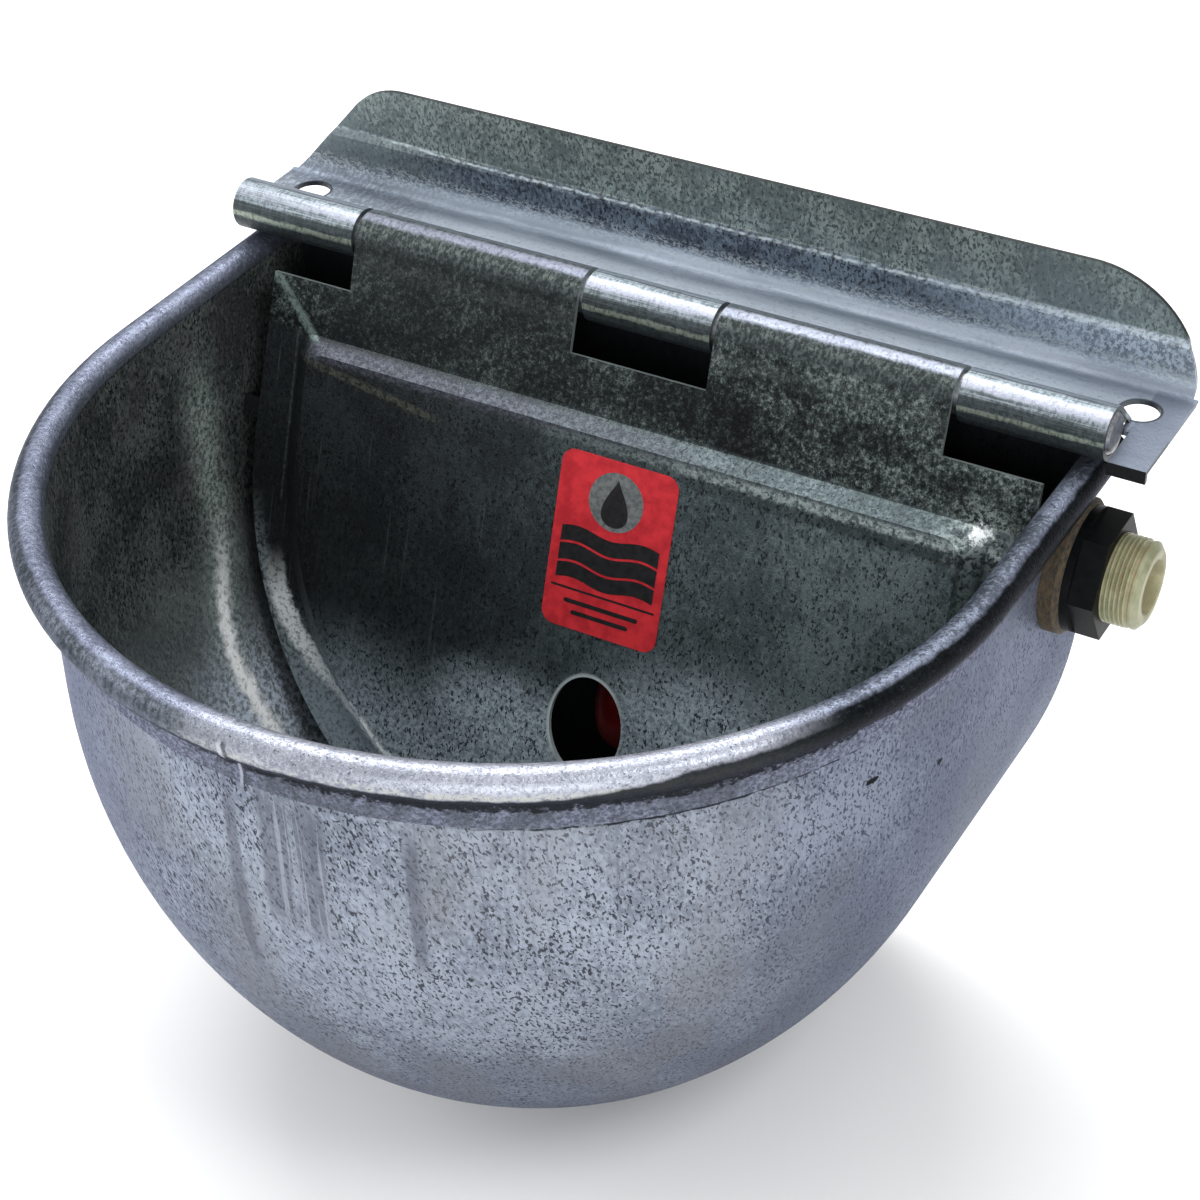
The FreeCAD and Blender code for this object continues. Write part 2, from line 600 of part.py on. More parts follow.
# Cover: a plate that follows the bowl, with a raised panel, the water hole, notches for the knuckles and two
# long curls on the rod.  It is drawn upright about the hinge axis and then swung to its resting slope.
cover = new_body("float_cover")
face_y = -curl_out_cover
curl_near = knuckle_mid + knuckle_gap
curl_far = knuckle_inner - knuckle_gap
left_far, left_near = knuckle_more - curl_far, knuckle_side - curl_near
right_near, right_far = knuckle_side + curl_near, curl_far
plate_sketch = new_sketch(cover, "XZ_Plane", "Plate", curl_in)
loop(plate_sketch, [
    ("line", cover_side + cover_narrow - cover_half, -notch_deep),
    ("line", left_far, -notch_deep),
    ("line", left_far, 0),
    ("line", left_near, 0),
    ("line", left_near, -notch_deep),
    ("line", right_near, -notch_deep),
    ("line", right_near, 0),
    ("line", right_far, 0),
    ("line", right_far, -notch_deep),
    ("line", cover_side + cover_half - cover_narrow, -notch_deep),
    ("line", cover_side + cover_half, -cover_centre),
    ("arc", cover_side - cover_half, -cover_centre, cover_side, -cover_centre, -1),
])
pad(cover, plate_sketch, sheet_cover, False, "Plate")

curl_end = (Size(0.5, "0.5"), Size(-0.8660254, "-0.8660254"))
for name, start, end in (("LeftCurl", left_far, left_near), ("RightCurl", right_near, right_far)):
    sk = new_sketch(cover, "YZ_Plane", name, start)
    loop(sk, [
        ("line", -curl_in, 0),
        ("arc", curl_in * curl_end[0], curl_in * curl_end[1], 0, 0, -1),
        ("line", curl_out_cover * curl_end[0], curl_out_cover * curl_end[1]),
        ("arc", -curl_out_cover, 0, 0, 0, 1),
    ])
    pad(cover, sk, end - start, False, name)


def panel_outline(sk, inset, top):
    """The raised panel's outline, inset from the cover's edge."""
    left = cover_side - cover_half + inset
    right = cover_side + cover_half - inset
    corner = panel_corner
    loop(sk, [
        ("line", right - corner, -top),
        ("arc", right, -top - corner, right - corner, -top - corner, -1),
        ("line", right, -cover_centre),
        ("arc", left, -cover_centre, cover_side, -cover_centre, -1),
        ("line", left, -top - corner),
        ("arc", left + corner, -top, left + corner, -top - corner, -1),
    ])


def panel_loft(kind, name, near, far, inset, lean):
    a = new_sketch(cover, "XZ_Plane", name + "Base", near)
    panel_outline(a, panel_border + inset, panel_top + inset)
    b = new_sketch(cover, "XZ_Plane", name + "Face", far)
    panel_outline(b, panel_border + inset + lean, panel_top + inset + panel_fall)
    doc.recompute()
    loft = cover.newObject("PartDesign::" + kind, name)
    loft.Profile = a
    loft.Sections = [b]
    loft.Ruled = True
    cover.Tip = loft
    doc.recompute()


panel_loft("AdditiveLoft", "Panel", curl_out_cover, curl_out_cover + panel_out, 0, panel_slope)
panel_loft("SubtractiveLoft", "PanelBack", curl_in, curl_in + panel_out, sheet_cover, panel_slope)

water_sketch = new_sketch(cover, "XZ_Plane", "WaterHole", curl_in + panel_out + 3 * sheet_cover)
water_at = V(water_side.v, -water_down.v, 0)
g = water_sketch.addGeometry(Part.Ellipse(water_at + V(0, water_tall.v, 0), water_at + V(water_wide.v, 0, 0),
                                          water_at), False)
pin_point(water_sketch, g, 3, water_side, -water_down)
water_sketch.exposeInternalGeometry(g)
k = water_sketch.addConstraint(Sketcher.Constraint("Vertical", g + 1))
k = water_sketch.addConstraint(Sketcher.Constraint("Distance", g + 1, 2 * water_tall.v))
bind(water_sketch, "Constraints[%d]" % k, 2 * water_tall)
k = water_sketch.addConstraint(Sketcher.Constraint("Distance", g + 2, 2 * water_wide.v))
bind(water_sketch, "Constraints[%d]" % k, 2 * water_wide)
pocket(cover, water_sketch, 5 * sheet_cover, False, "WaterHole")


def hang(body):
    """Swings a body that is drawn upright about the hinge axis to the cover's slope."""
    body.Placement = FreeCAD.Placement(V(0, 0, 0), FreeCAD.Rotation(V(1, 0, 0), -cover_tilt.v))
    body.setExpression("Placement.Rotation.Angle", "%s * -1deg" % cover_tilt.f)
    place(body, 0, hinge_back, hinge_up)


hang(cover)

# Cover stops: two angle clips welded to the bowl's side walls, behind the cover's border.
stops = new_body("cover_stops")
rest = curl_in - stop_gap
for name, side in (("Left", -1), ("Right", 1)):
    sk = new_sketch(stops, "XY_Plane", name + "Stop", -(stop_down + stop_tall / 2))
    outer, inner = side * inner_radius, side * (inner_radius - stop_wide)
    loop(sk, [
        ("line", inner, -rest),
        ("line", inner, -rest + sheet_cover),
        ("line", outer - side * sheet_cover, -rest + sheet_cover),
        ("line", outer - side * sheet_cover, -rest + stop_foot),
        ("line", outer, -rest + stop_foot),
        ("line", outer, -rest),
    ])
    pad(stops, sk, stop_tall, False, name + "Stop")
hang(stops)

# Valve: a nylon fitting through the right wall, turned about its own axis, with two clevis cheeks inside.
wall_x = inner_radius
valve = new_body("valve_body")
valve_sketch = new_sketch(valve, "XZ_Plane", "ValveSection")
back_x = -gasket_thick
flange_x = back_x - flange_thick
nozzle_x = flange_x - nozzle_reach
mouth_x = sheet_bowl + inlet_reach
shank_x = sheet_bowl + washer_thick + nut_collar_thick + nut_thick
seat_x = flange_x + flange_thick / 2 - seat_wall
plunger_bore = plunger_radius + plunger_fit
loop(valve_sketch, [
    ("line", nozzle_x, nozzle_radius),
    ("line", flange_x, nozzle_radius),
    ("line", flange_x, flange_radius),
    ("line", back_x, flange_radius),
    ("line", back_x, thread_radius - thread_under),
    ("line", shank_x, thread_radius - thread_under),
    ("line", shank_x, thread_radius),
    ("line", mouth_x - inlet_bevel, thread_radius),
    ("line", mouth_x, thread_radius - inlet_bevel),
    ("line", mouth_x, inlet_bore),
    ("line", seat_x + seat_wall, inlet_bore),
    ("line", seat_x + seat_wall, seat_bore),
    ("line", seat_x, seat_bore),
    ("line", seat_x, plunger_bore),
    ("line", nozzle_x, plunger_bore),
])
revolve(valve, valve_sketch, 360.0, "H_Axis", False, "Valve")
pivot_x, pivot_z = -pivot_in, -pivot_drop
for name, side in (("FrontCheek", -1), ("BackCheek", 1)):
    near = side * clevis_gap
    sk = new_sketch(valve, "XZ_Plane", name, -clevis_gap if side > 0 else clevis_gap + clevis_thick)
    loop(sk, [
        ("line", flange_x, nozzle_radius / 3),
        ("line", flange_x, -nozzle_radius / 3 - pivot_drop),
        ("line", pivot_x, pivot_z - clevis_round),
        ("arc", pivot_x, pivot_z + clevis_round, pivot_x, pivot_z, -1),
        ("line", nozzle_x, nozzle_radius / 3),
    ])
    circle(sk, pivot_x, pivot_z, pivot_radius)
    pad(valve, sk, clevis_thick, True, name)
place(valve, wall_x, valve_back, -valve_down)


def ring(label, x0, x1, r_in, r_out, bevel=0.0):
    """A turned ring about the valve's axis, from x0 to x1 off the bowl's inner wall."""
    body = new_body(label)
    sk = new_sketch(body, "XZ_Plane", "Section")
    b = as_size(bevel)
    if b.v > 0:
        loop(sk, [("line", x0, r_out), ("line", x1 - b, r_out), ("line", x1, r_out - b),
                  ("line", x1, r_in), ("line", x0, r_in)])
    else:
        rectangle(sk, x0, r_in, x1, r_out)
    revolve(body, sk, 360.0, "H_Axis", False, "Ring")
    place(body, wall_x, valve_back, -valve_down)
    return body


thread_hole = thread_radius + thread_fit
gasket = ring("inner_gasket", -gasket_thick, 0, thread_hole, flange_radius)
washer = ring("fibre_washer", sheet_bowl, sheet_bowl + washer_thick, thread_hole, washer_radius, washer_thick / 4)
nut_x = sheet_bowl + washer_thick
nut = ring("valve_nut", nut_x, nut_x + nut_collar_thick, thread_hole, nut_collar)
hex_sketch = new_sketch(nut, "YZ_Plane", "Hexagon", nut_x + nut_collar_thick)
half_side = nut_flats / root(Size(3.0, "3.0"))
loop(hex_sketch, [
    ("line", half_side, nut_flats), ("line", -half_side, nut_flats), ("line", -2 * half_side, 0),
    ("line", -half_side, -nut_flats), ("line", half_side, -nut_flats), ("line", 2 * half_side, 0),
])
circle(hex_sketch, 0, 0, thread_hole)
pad(nut, hex_sketch, nut_thick, False, "Hexagon")

# Pivot pin through the clevis.
pin = new_body("float_pivot_pin")
pin_sketch = new_sketch(pin, "XZ_Plane", "Pin", clevis_gap + clevis_thick + pin_over)
circle(pin_sketch, 0, 0, pivot_radius)
pad(pin, pin_sketch, 2 * (clevis_gap + clevis_thick + pin_over), True, "Pin")
place(pin, wall_x - pivot_in, valve_back, -valve_down - pivot_drop)

# Plunger and its rubber seal, on the valve's axis.
seal_x = seat_x - seat_gap
plunger = new_body("valve_plunger")
plunger_sketch = new_sketch(plunger, "YZ_Plane", "Plunger", seal_x - seal_thick - plunger_long)
circle(plunger_sketch, 0, 0, plunger_radius)
pad(plunger, plunger_sketch, plunger_long, False, "Plunger")
place(plunger, wall_x, valve_back, -valve_down)
seal = new_body("plunger_seal")
seal_sketch = new_sketch(seal, "YZ_Plane", "Seal", seal_x - seal_thick)
circle(seal_sketch, 0, 0, plunger_radius - seal_inset)
pad(seal, seal_sketch, seal_thick, False, "Seal")
place(seal, wall_x, valve_back, -valve_down)

# Lever: a plate with a hub on the pivot, a finger behind the plunger and a long arm down to the float.
lever = new_body("float_lever")
lug_x = float_right + lug_long / 2 - (wall_x - pivot_in)
lug_z = valve_down + pivot_drop - float_down
plunger_end = seal_x - seal_thick - plunger_long + pivot_in
finger_x = plunger_end - finger_gap
arm = root(lug_x * lug_x + lug_z * lug_z)
arm_y, arm_z = lug_x / arm, lug_z / arm
half_arm = lever_wide / 2
plate_y = float_back - valve_back + lever_thick / 2
finger_sketch = new_sketch(lever, "XZ_Plane", "Finger", -plate_y)
rectangle(finger_sketch, finger_x - 2 * finger_wide, 0, finger_x, finger_up)
pad(lever, finger_sketch, lever_thick, False, "Finger")
heel_sketch = new_sketch(lever, "XZ_Plane", "Heel", -plate_y)
heel_x = nozzle_x + pivot_in + heel_long
heel_top = pivot_drop - nozzle_radius - heel_gap
rectangle(heel_sketch, 0, heel_top - heel_tall, heel_x, heel_top)
pad(lever, heel_sketch, lever_thick, False, "Heel")
arm_sketch = new_sketch(lever, "XZ_Plane", "Arm", -plate_y)
loop(arm_sketch, [
    ("line", half_arm * arm_z, -half_arm * arm_y),
    ("line", lug_x + half_arm * arm_z, lug_z - half_arm * arm_y),
    ("arc", lug_x - half_arm * arm_z, lug_z + half_arm * arm_y, lug_x, lug_z, -1),
    ("line", -half_arm * arm_z, half_arm * arm_y),
])
pad(lever, arm_sketch, lever_thick, False, "Arm")
hub_half = clevis_gap - lever_side
hub_sketch = new_sketch(lever, "XZ_Plane", "Hub", hub_half)
circle(hub_sketch, 0, 0, lever_hub)
pad(lever, hub_sketch, 2 * hub_half, True, "Hub")
bore_sketch = new_sketch(lever, "XZ_Plane", "Bore", hub_half + 1)
circle(bore_sketch, 0, 0, pivot_radius + pivot_fit)
circle(bore_sketch, lug_x, lug_z, lug_pin)
pocket(lever, bore_sketch, 2 * hub_half + 2, False, "Bore")
place(lever, wall_x - pivot_in, valve_back, -valve_down - pivot_drop)

# Float: a moulded drum with rounded ends and a slotted lug that the lever's end is pinned in.
float_body = new_body("float")
drum_sketch = new_sketch(float_body, "XZ_Plane", "Drum")
loop(drum_sketch, [
    ("line", -float_long, float_radius - float_round),
    ("arc", -float_long + float_round, float_radius, -float_long + float_round, float_radius - float_round, -1),
    ("line", -float_round, float_radius),
    ("arc", 0, float_radius - float_round, -float_round, float_radius - float_round, -1),
    ("line", 0, 0),
    ("line", -float_long, 0),
])
revolve(float_body, drum_sketch, 360.0, "H_Axis", False, "Drum")
slot_half = lever_thick / 2 + lug_fit
for name, start, end in (("FrontLug", -lug_half, -slot_half), ("BackLug", slot_half, lug_half)):
    sk = new_sketch(float_body, "XZ_Plane", name, -start)
    loop(sk, [
        ("line", -float_round, lug_tall),
        ("line", lug_long / 2, lug_tall),
        ("arc", lug_long / 2, -lug_tall, lug_long / 2, 0, -1),
        ("line", -float_round, -lug_tall),
    ])
    pad(float_body, sk, end - start, True, name)
pin_hole = new_sketch(float_body, "XZ_Plane", "PinHole", lug_half + 1)
circle(pin_hole, lug_long / 2, 0, lug_pin)
pocket(float_body, pin_hole, 2 * lug_half + 2, False, "PinHole")
place(float_body, float_right, float_back, -float_down)

float_pin = new_body("float_pin")
float_pin_sketch = new_sketch(float_pin, "XZ_Plane", "Pin", lug_half + pin_over)
circle(float_pin_sketch, 0, 0, lug_pin)
pad(float_pin, float_pin_sketch, 2 * (lug_half + pin_over), True, "Pin")
place(float_pin, float_right + lug_long / 2, float_back, -float_down)

doc.recompute()
for obj in doc.Objects:
    check(obj)
bodies = [o for o in doc.Objects if o.TypeId == "PartDesign::Body"]
for body in bodies:
    if body.Shape.isNull() or not body.Shape.isValid():
        raise RuntimeError("bad shape: " + body.Label)
os.makedirs("parts", exist_ok=True)
for body in bodies:
    body.Shape.exportStep(os.path.join("parts", body.Label + ".step"))
    box = body.Shape.BoundBox
    print("%-18s solids %d volume %10.1f  x %.1f %.1f  y %.1f %.1f  z %.1f %.1f" % (
        body.Label, len(body.Shape.Solids), body.Shape.Volume, box.XMin, box.XMax, box.YMin, box.YMax,
        box.ZMin, box.ZMax))
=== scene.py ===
"""Looks of the stock waterer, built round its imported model."""

import math

import bmesh
import bpy
from mathutils import Matrix, Vector


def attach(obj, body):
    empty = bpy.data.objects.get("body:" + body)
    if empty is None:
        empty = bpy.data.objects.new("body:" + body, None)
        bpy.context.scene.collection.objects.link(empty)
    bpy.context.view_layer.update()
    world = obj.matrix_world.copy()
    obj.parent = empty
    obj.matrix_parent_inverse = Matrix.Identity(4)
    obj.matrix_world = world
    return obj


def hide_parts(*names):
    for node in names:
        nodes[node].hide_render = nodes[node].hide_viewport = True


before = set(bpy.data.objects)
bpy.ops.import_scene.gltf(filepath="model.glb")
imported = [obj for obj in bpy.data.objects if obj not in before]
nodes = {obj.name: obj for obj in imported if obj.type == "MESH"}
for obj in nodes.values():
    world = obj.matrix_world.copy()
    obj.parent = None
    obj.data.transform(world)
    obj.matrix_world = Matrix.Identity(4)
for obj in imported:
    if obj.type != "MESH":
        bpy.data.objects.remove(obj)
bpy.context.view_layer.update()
MM = 0.001
DEGREES = 180.0 / math.pi

# Places that the materials share, in mm. The rim's centre line is the zero of their Y and Z.
RIM_Y, RIM_Z = -114.5, -36.0
CENTRE_Y, WALL_Z = 6.0, -50.0
RIM_RADIUS = 143.0
HINGE = (0.0, 76.5, 14.2)
TILT = math.radians(18.5)
INNER_RADIUS = 137.8
LEFT_HOLE, RIGHT_HOLE, EAR_HOLE = (-138.5, 99.0), (148.7, 96.9), 5.8
# Places on the cover, in its own mm from the hinge
HOLE_X, HOLE_Z, HOLE_WIDE, HOLE_TALL = 5.5, -132.0, 12.75, 16.5
PANEL_LEFT, PANEL_RIGHT, PANEL_TOP = -118.5, 118.5, -36.0
FACE = -13.08
LABEL_X, LABEL_Z = 5.0, -73.2


def rgb(r, g, b):
    """A linear colour from screen values of 0 to 255."""
    out = []
    for v in (r, g, b):
        c = v / 255.0
        out.append(c / 12.92 if c <= 0.04045 else ((c + 0.055) / 1.055) ** 2.4)
    return tuple(out) + (1.0,)


class Graph:
    """One material, and short calls that add nodes to it. Each call takes sockets or plain numbers."""

    def __init__(self, name, **settings):
        self.mat = bpy.data.materials.new(name)
        self.mat.use_nodes = True
        self.tree = self.mat.node_tree
        self.tree.nodes.clear()
        self.out = self.tree.nodes.new("ShaderNodeOutputMaterial")
        self.shader = self.tree.nodes.new("ShaderNodeBsdfPrincipled")
        self.tree.links.new(self.shader.outputs[0], self.out.inputs[0])
        for key, value in settings.items():
            self.shader.inputs[key.replace("_", " ")].default_value = value
        self.coord = None

    def feed(self, socket, value):
        if isinstance(value, bpy.types.NodeSocket):
            self.tree.links.new(value, socket)
        elif isinstance(value, (tuple, list)) and len(value) == 4 and len(socket.default_value) == 3:
            socket.default_value = value[:3]
        else:
            socket.default_value = value

    def set(self, name, value):
        self.feed(self.shader.inputs[name], value)

    def math(self, op, a, b=0.0, c=0.0, clamp=False):
        n = self.tree.nodes.new("ShaderNodeMath")
        n.operation = op
        n.use_clamp = clamp
        for i, v in enumerate((a, b, c)):
            self.feed(n.inputs[i], v)
        return n.outputs[0]

    def add(self, a, b):
        return self.math("ADD", a, b)

    def sub(self, a, b):
        return self.math("SUBTRACT", a, b)

    def mul(self, a, b):
        return self.math("MULTIPLY", a, b)

    def div(self, a, b):
        return self.math("DIVIDE", a, b)

    def abs(self, a):
        return self.math("ABSOLUTE", a)

    def hypot(self, a, b):
        return self.math("SQRT", self.add(self.mul(a, a), self.mul(b, b)))

    def angle(self, a, b):
        """The direction of (b, a) in degrees."""
        return self.mul(self.math("ARCTAN2", a, b), DEGREES)

    def high(self, a, b):
        return self.math("MAXIMUM", a, b)

    def low(self, a, b):
        return self.math("MINIMUM", a, b)

    def vec(self, op, a, b=(0.0, 0.0, 0.0)):
        n = self.tree.nodes.new("ShaderNodeVectorMath")
        n.operation = op
        self.feed(n.inputs[0], a)
        self.feed(n.inputs[1], b)
        return n.outputs["Value"] if op in ("DOT_PRODUCT", "LENGTH") else n.outputs["Vector"]

    def length(self, v):
        return self.vec("LENGTH", v)

    def join(self, x, y, z):
        n = self.tree.nodes.new("ShaderNodeCombineXYZ")
        for i, v in enumerate((x, y, z)):
            self.feed(n.inputs[i], v)
        return n.outputs[0]

    def split(self, v):
        n = self.tree.nodes.new("ShaderNodeSeparateXYZ")
        self.feed(n.inputs[0], v)
        return n.outputs[0], n.outputs[1], n.outputs[2]

    def noise(self, v, scale=1.0, detail=3.0, rough=0.5, warp=0.0):
        n = self.tree.nodes.new("ShaderNodeTexNoise")
        self.feed(n.inputs["Vector"], v)
        self.feed(n.inputs["Scale"], scale)
        self.feed(n.inputs["Detail"], detail)
        self.feed(n.inputs["Roughness"], rough)
        self.feed(n.inputs["Distortion"], warp)
        return n.outputs["Fac"]

    def wobble(self, amount, v, *settings):
        """Noise about zero, from -amount / 2 to amount / 2."""
        return self.mul(self.sub(self.noise(v, *settings), 0.5), amount)

    def step(self, x, a, b, lo=0.0, hi=1.0):
        """Runs smoothly from lo at a to hi at b."""
        n = self.tree.nodes.new("ShaderNodeMapRange")
        n.interpolation_type = "SMOOTHSTEP"
        for i, v in enumerate((x, a, b, lo, hi)):
            self.feed(n.inputs[i], v)
        return n.outputs[0]

    def band(self, x, a, b, soft):
        """1 between a and b, 0 outside, with edges of width soft."""
        return self.mul(self.step(x, a - soft, a + soft), self.step(x, b - soft, b + soft, 1.0, 0.0))

    def ramp(self, x, stops, mode="EASE"):
        n = self.tree.nodes.new("ShaderNodeValToRGB")
        n.color_ramp.interpolation = mode
        ramp = n.color_ramp.elements
        while len(ramp) < len(stops):
            ramp.new(0.5)
        for e, (at, colour) in zip(ramp, stops):
            e.position = at
            e.color = colour if isinstance(colour, tuple) else (colour, colour, colour, 1.0)
        self.feed(n.inputs[0], x)
        return n.outputs[0]

    def mix(self, fac, a, b, mode="MIX"):
        n = self.tree.nodes.new("ShaderNodeMix")
        n.data_type = "RGBA"
        n.blend_type = mode
        self.feed(n.inputs[0], fac)
        self.feed(n.inputs[6], a)
        self.feed(n.inputs[7], b)
        return n.outputs[2]

    def paint(self, under, colour, mask, strength=1.0):
        """Lays a colour over another one where the mask is, up to a strength."""
        return self.mix(mask if strength == 1.0 else self.mul(mask, strength), under, colour)

    def bump(self, height, strength, distance):
        n = self.tree.nodes.new("ShaderNodeBump")
        n.inputs["Strength"].default_value = strength
        n.inputs["Distance"].default_value = distance
        self.feed(n.inputs["Height"], height)
        self.tree.links.new(n.outputs[0], self.shader.inputs["Normal"])

    def place(self):
        """The point in mm from the rim's centre, as a vector and as its three parts."""
        self.coord = self.tree.nodes.new("ShaderNodeTexCoord")
        v = self.vec("SCALE", self.coord.outputs["Object"])
        v.node.inputs["Scale"].default_value = 1000.0
        v = self.vec("ADD", v, (0.0, -RIM_Y, -RIM_Z))
        return (v,) + self.split(v)

    def stretch(self, v, x, y, z):
        return self.vec("MULTIPLY", v, (x, y, z))


def zinc(g, p, base, dark, pale, grain=1.0, along=(0.9, 0.9, 0.42), amount=0.5, cloud=0.03):
    """Hot-dip zinc: a cloudy ground with dark specks drawn out along one way. Returns colour and speck mask."""
    ground = g.noise(p, cloud, 4.0, 0.55)
    fine = g.noise(g.stretch(p, *[a * 0.6 / grain for a in along]), 1.0, 3.0, 0.65)
    tone = g.add(g.mul(ground, 0.5), g.mul(fine, 0.5))
    colour = g.mix(g.step(tone, 0.42, 0.6), base, pale)
    speck = g.noise(g.stretch(p, *[a / grain for a in along]), 1.0, 1.5, 0.55, 0.4)
    edge = 0.68 - 0.16 * amount
    patch = g.noise(p, 0.05, 2.0, 0.5)
    mask = g.step(g.add(speck, g.mul(g.sub(patch, 0.5), 0.14)), edge, edge + 0.05)
    return g.mix(g.mul(mask, 0.85), colour, dark), mask, tone


# Bowl
g = Graph("zinc_bowl", Specular_Tint=rgb(166, 170, 186))
p, x, y, z = g.place()
dy = g.low(g.sub(y, CENTRE_Y), 0.0)
r = g.hypot(x, dy)
ux, uy = g.div(x, r), g.div(dy, r)
line = g.join(g.mul(ux, RIM_RADIUS), g.add(g.high(y, CENTRE_Y), g.mul(uy, RIM_RADIUS)), 0.0)
lx, ly, _ = g.split(line)
low_z = g.low(g.sub(z, WALL_Z), 0.0)
facing = g.vec("DOT_PRODUCT", g.coord.outputs["Normal"], g.vec("NORMALIZE", g.join(x, dy, low_z)))
outside = g.step(facing, -0.05, 0.1)
skirt_here = g.step(z, -17.5, -16.9)
on_bead = g.high(g.step(z, -0.6, 0.4), g.mul(g.step(z, -5.0, -4.2), g.step(r, 138.0, 138.4)))
front = g.step(g.sub(g.mul(ux, 0.454), g.mul(uy, 0.891)), 0.80, 0.93)
left = g.step(ux, -0.25, -0.7)
# Outer wall: lilac grey, warm clouds, short dark dashes
dash_way = g.join(g.add(x, g.mul(z, 0.3)), y, z)
wall, dash, tone = zinc(g, dash_way, rgb(114, 121, 134), rgb(34, 36, 44), rgb(153, 161, 174),
                        grain=0.84, along=(1.0, 1.0, 0.56), amount=0.68, cloud=0.02)
warm = g.step(g.noise(g.stretch(p, 1.0, 1.0, 0.6), 0.022, 3.0, 0.5), 0.46, 0.66)
wall = g.paint(wall, rgb(118, 119, 122), warm, 0.5)
# Painted shade: the outer wall darker towards its right and left edges and towards the bottom
wall = g.paint(wall, rgb(84, 91, 110), g.step(ux, 0.7, 0.98), 0.5)
wall = g.paint(wall, rgb(76, 83, 112), g.step(ux, -0.15, -0.8), 0.75)
wall = g.paint(wall, rgb(54, 59, 78), g.step(z, -112.0, -200.0, 0.0, 0.84))
brush = g.noise(g.stretch(g.join(lx, ly, z), 0.5, 0.5, 0.012), 1.0, 4.0, 0.6)
lean = g.add(x, g.wobble(3.0, g.stretch(p, 0.3, 0.3, 0.04), 1.0, 3.0, 0.5))
streak_zone = g.mul(g.band(lean, 0.0, 20.5, 1.2), g.band(g.add(z, g.mul(lean, 0.3)), -60.0, -16.0, 6.0))
first = g.mul(g.band(lean, -11.0, -7.0, 0.9), g.band(z, -86.0, -26.0, 7.0))
second = g.high(first, g.mul(g.band(lean, 41.0, 44.5, 0.8), g.band(z, -70.0, -23.0, 5.0)))
facing_front = g.step(y, 0.0, -40.0)
bands = g.noise(g.stretch(g.join(lean, 0.0, z), 0.22, 1.0, 0.006), 1.0, 3.0, 0.55)
streak = g.high(g.mul(streak_zone, g.step(bands, 0.4, 0.5, 0.25, 1.0)), second)
wall = g.paint(wall, rgb(88, 91, 102), g.mul(streak, facing_front), 0.66)
thin = g.noise(g.stretch(g.join(lean, 0.0, z), 0.9, 1.0, 0.01), 1.0, 2.0, 0.5)
hair = g.mul(g.mul(streak_zone, facing_front), g.step(thin, 0.6, 0.68, 0.0, 0.7))
wall = g.paint(wall, rgb(150, 154, 166), hair)
runs = g.mul(g.step(brush, 0.55, 0.7), g.step(z, -110.0, -20.0))
wall = g.paint(wall, rgb(92, 95, 108), runs, 0.4)
for fx, fy, fz, size, tall in ((131.0, -41.0, -32.0, 2.0, 1.9), (138.0, -12.0, -44.0, 1.2, 1.0)):
    away = g.length(g.stretch(g.vec("SUBTRACT", p, (fx, fy, fz)), 0.7, 0.7, tall))
    away = g.add(away, g.wobble(1.4, p, 0.9, 2.0))
    wall = g.paint(wall, rgb(10, 10, 13), g.step(away, size, size - 0.5))
# Skirt under the rim
stroke = g.noise(g.stretch(g.join(lx, ly, z), 0.7, 0.7, 0.9), 1.0, 4.0, 0.75)
skirt = g.mix(g.step(stroke, 0.42, 0.6), rgb(84, 88, 102), rgb(126, 130, 148))
skirt = g.paint(skirt, rgb(70, 74, 80), g.mul(front, g.step(g.noise(p, 0.1, 3.0, 0.6), 0.6, 0.4, 0.1, 0.6)))
spot = g.step(g.noise(p, 1.0, 2.0, 0.6), 0.58, 0.64)
skirt = g.paint(skirt, rgb(46, 48, 58), spot, 0.55)
# Painted shade under the bead: the skirt's upper part nearly black, strongest from the front to the right
black_at = g.add(z, g.wobble(10.0, g.stretch(p, 0.35, 0.35, 0.6), 1.0, 4.0, 0.7))
skirt = g.paint(skirt, rgb(16, 19, 20), g.mul(g.step(black_at, -11.6, -9.8), g.step(ux, -0.5, 0.0, 0.3, 0.92)))
# Along the skirt's lower edge: a pale painted highlight line on the left and front, a dark painted shadow line on the
# right
skirt = g.paint(skirt, rgb(158, 161, 174), g.mul(g.band(z, -17.3, -16.3, 0.35), g.step(ux, 0.45, 0.1, 0.0, 0.8)))
skirt = g.paint(skirt, rgb(30, 32, 38), g.mul(g.band(z, -18.0, -16.8, 0.3), g.step(ux, 0.35, 0.6, 0.0, 0.85)))
# Painted shade along the skirt's top, just under the bead
skirt = g.paint(skirt, rgb(34, 37, 40), g.step(z, -7.6, -5.0, 0.0, 0.9))
# Rim, with light and shade painted by the angle round the bead: at the front a pale painted highlight with a warm
# painted highlight line low down, on both sides a lilac top and a dark rough flank in painted shade
beta = g.angle(z, g.sub(r, RIM_RADIUS))
beta = g.add(beta, g.wobble(26.0, g.join(lx, ly, z), 0.16, 3.0, 0.6))
soil = g.noise(g.join(lx, ly, z), 0.05, 4.0, 0.65)
mottle = g.noise(p, 0.7, 3.0, 0.7)
cross = g.noise(g.stretch(g.join(lx, ly, z), 0.7, 0.7, 0.12), 1.0, 3.0, 0.65)
shade = g.add(g.mul(soil, 0.45), g.mul(mottle, 0.55))
# Painted highlight: the bead pale at the front
pale = g.mix(g.step(shade, 0.4, 0.58), rgb(132, 136, 148), rgb(176, 179, 190))
grey = g.mix(g.step(shade, 0.4, 0.6), rgb(94, 99, 115), rgb(130, 136, 154))
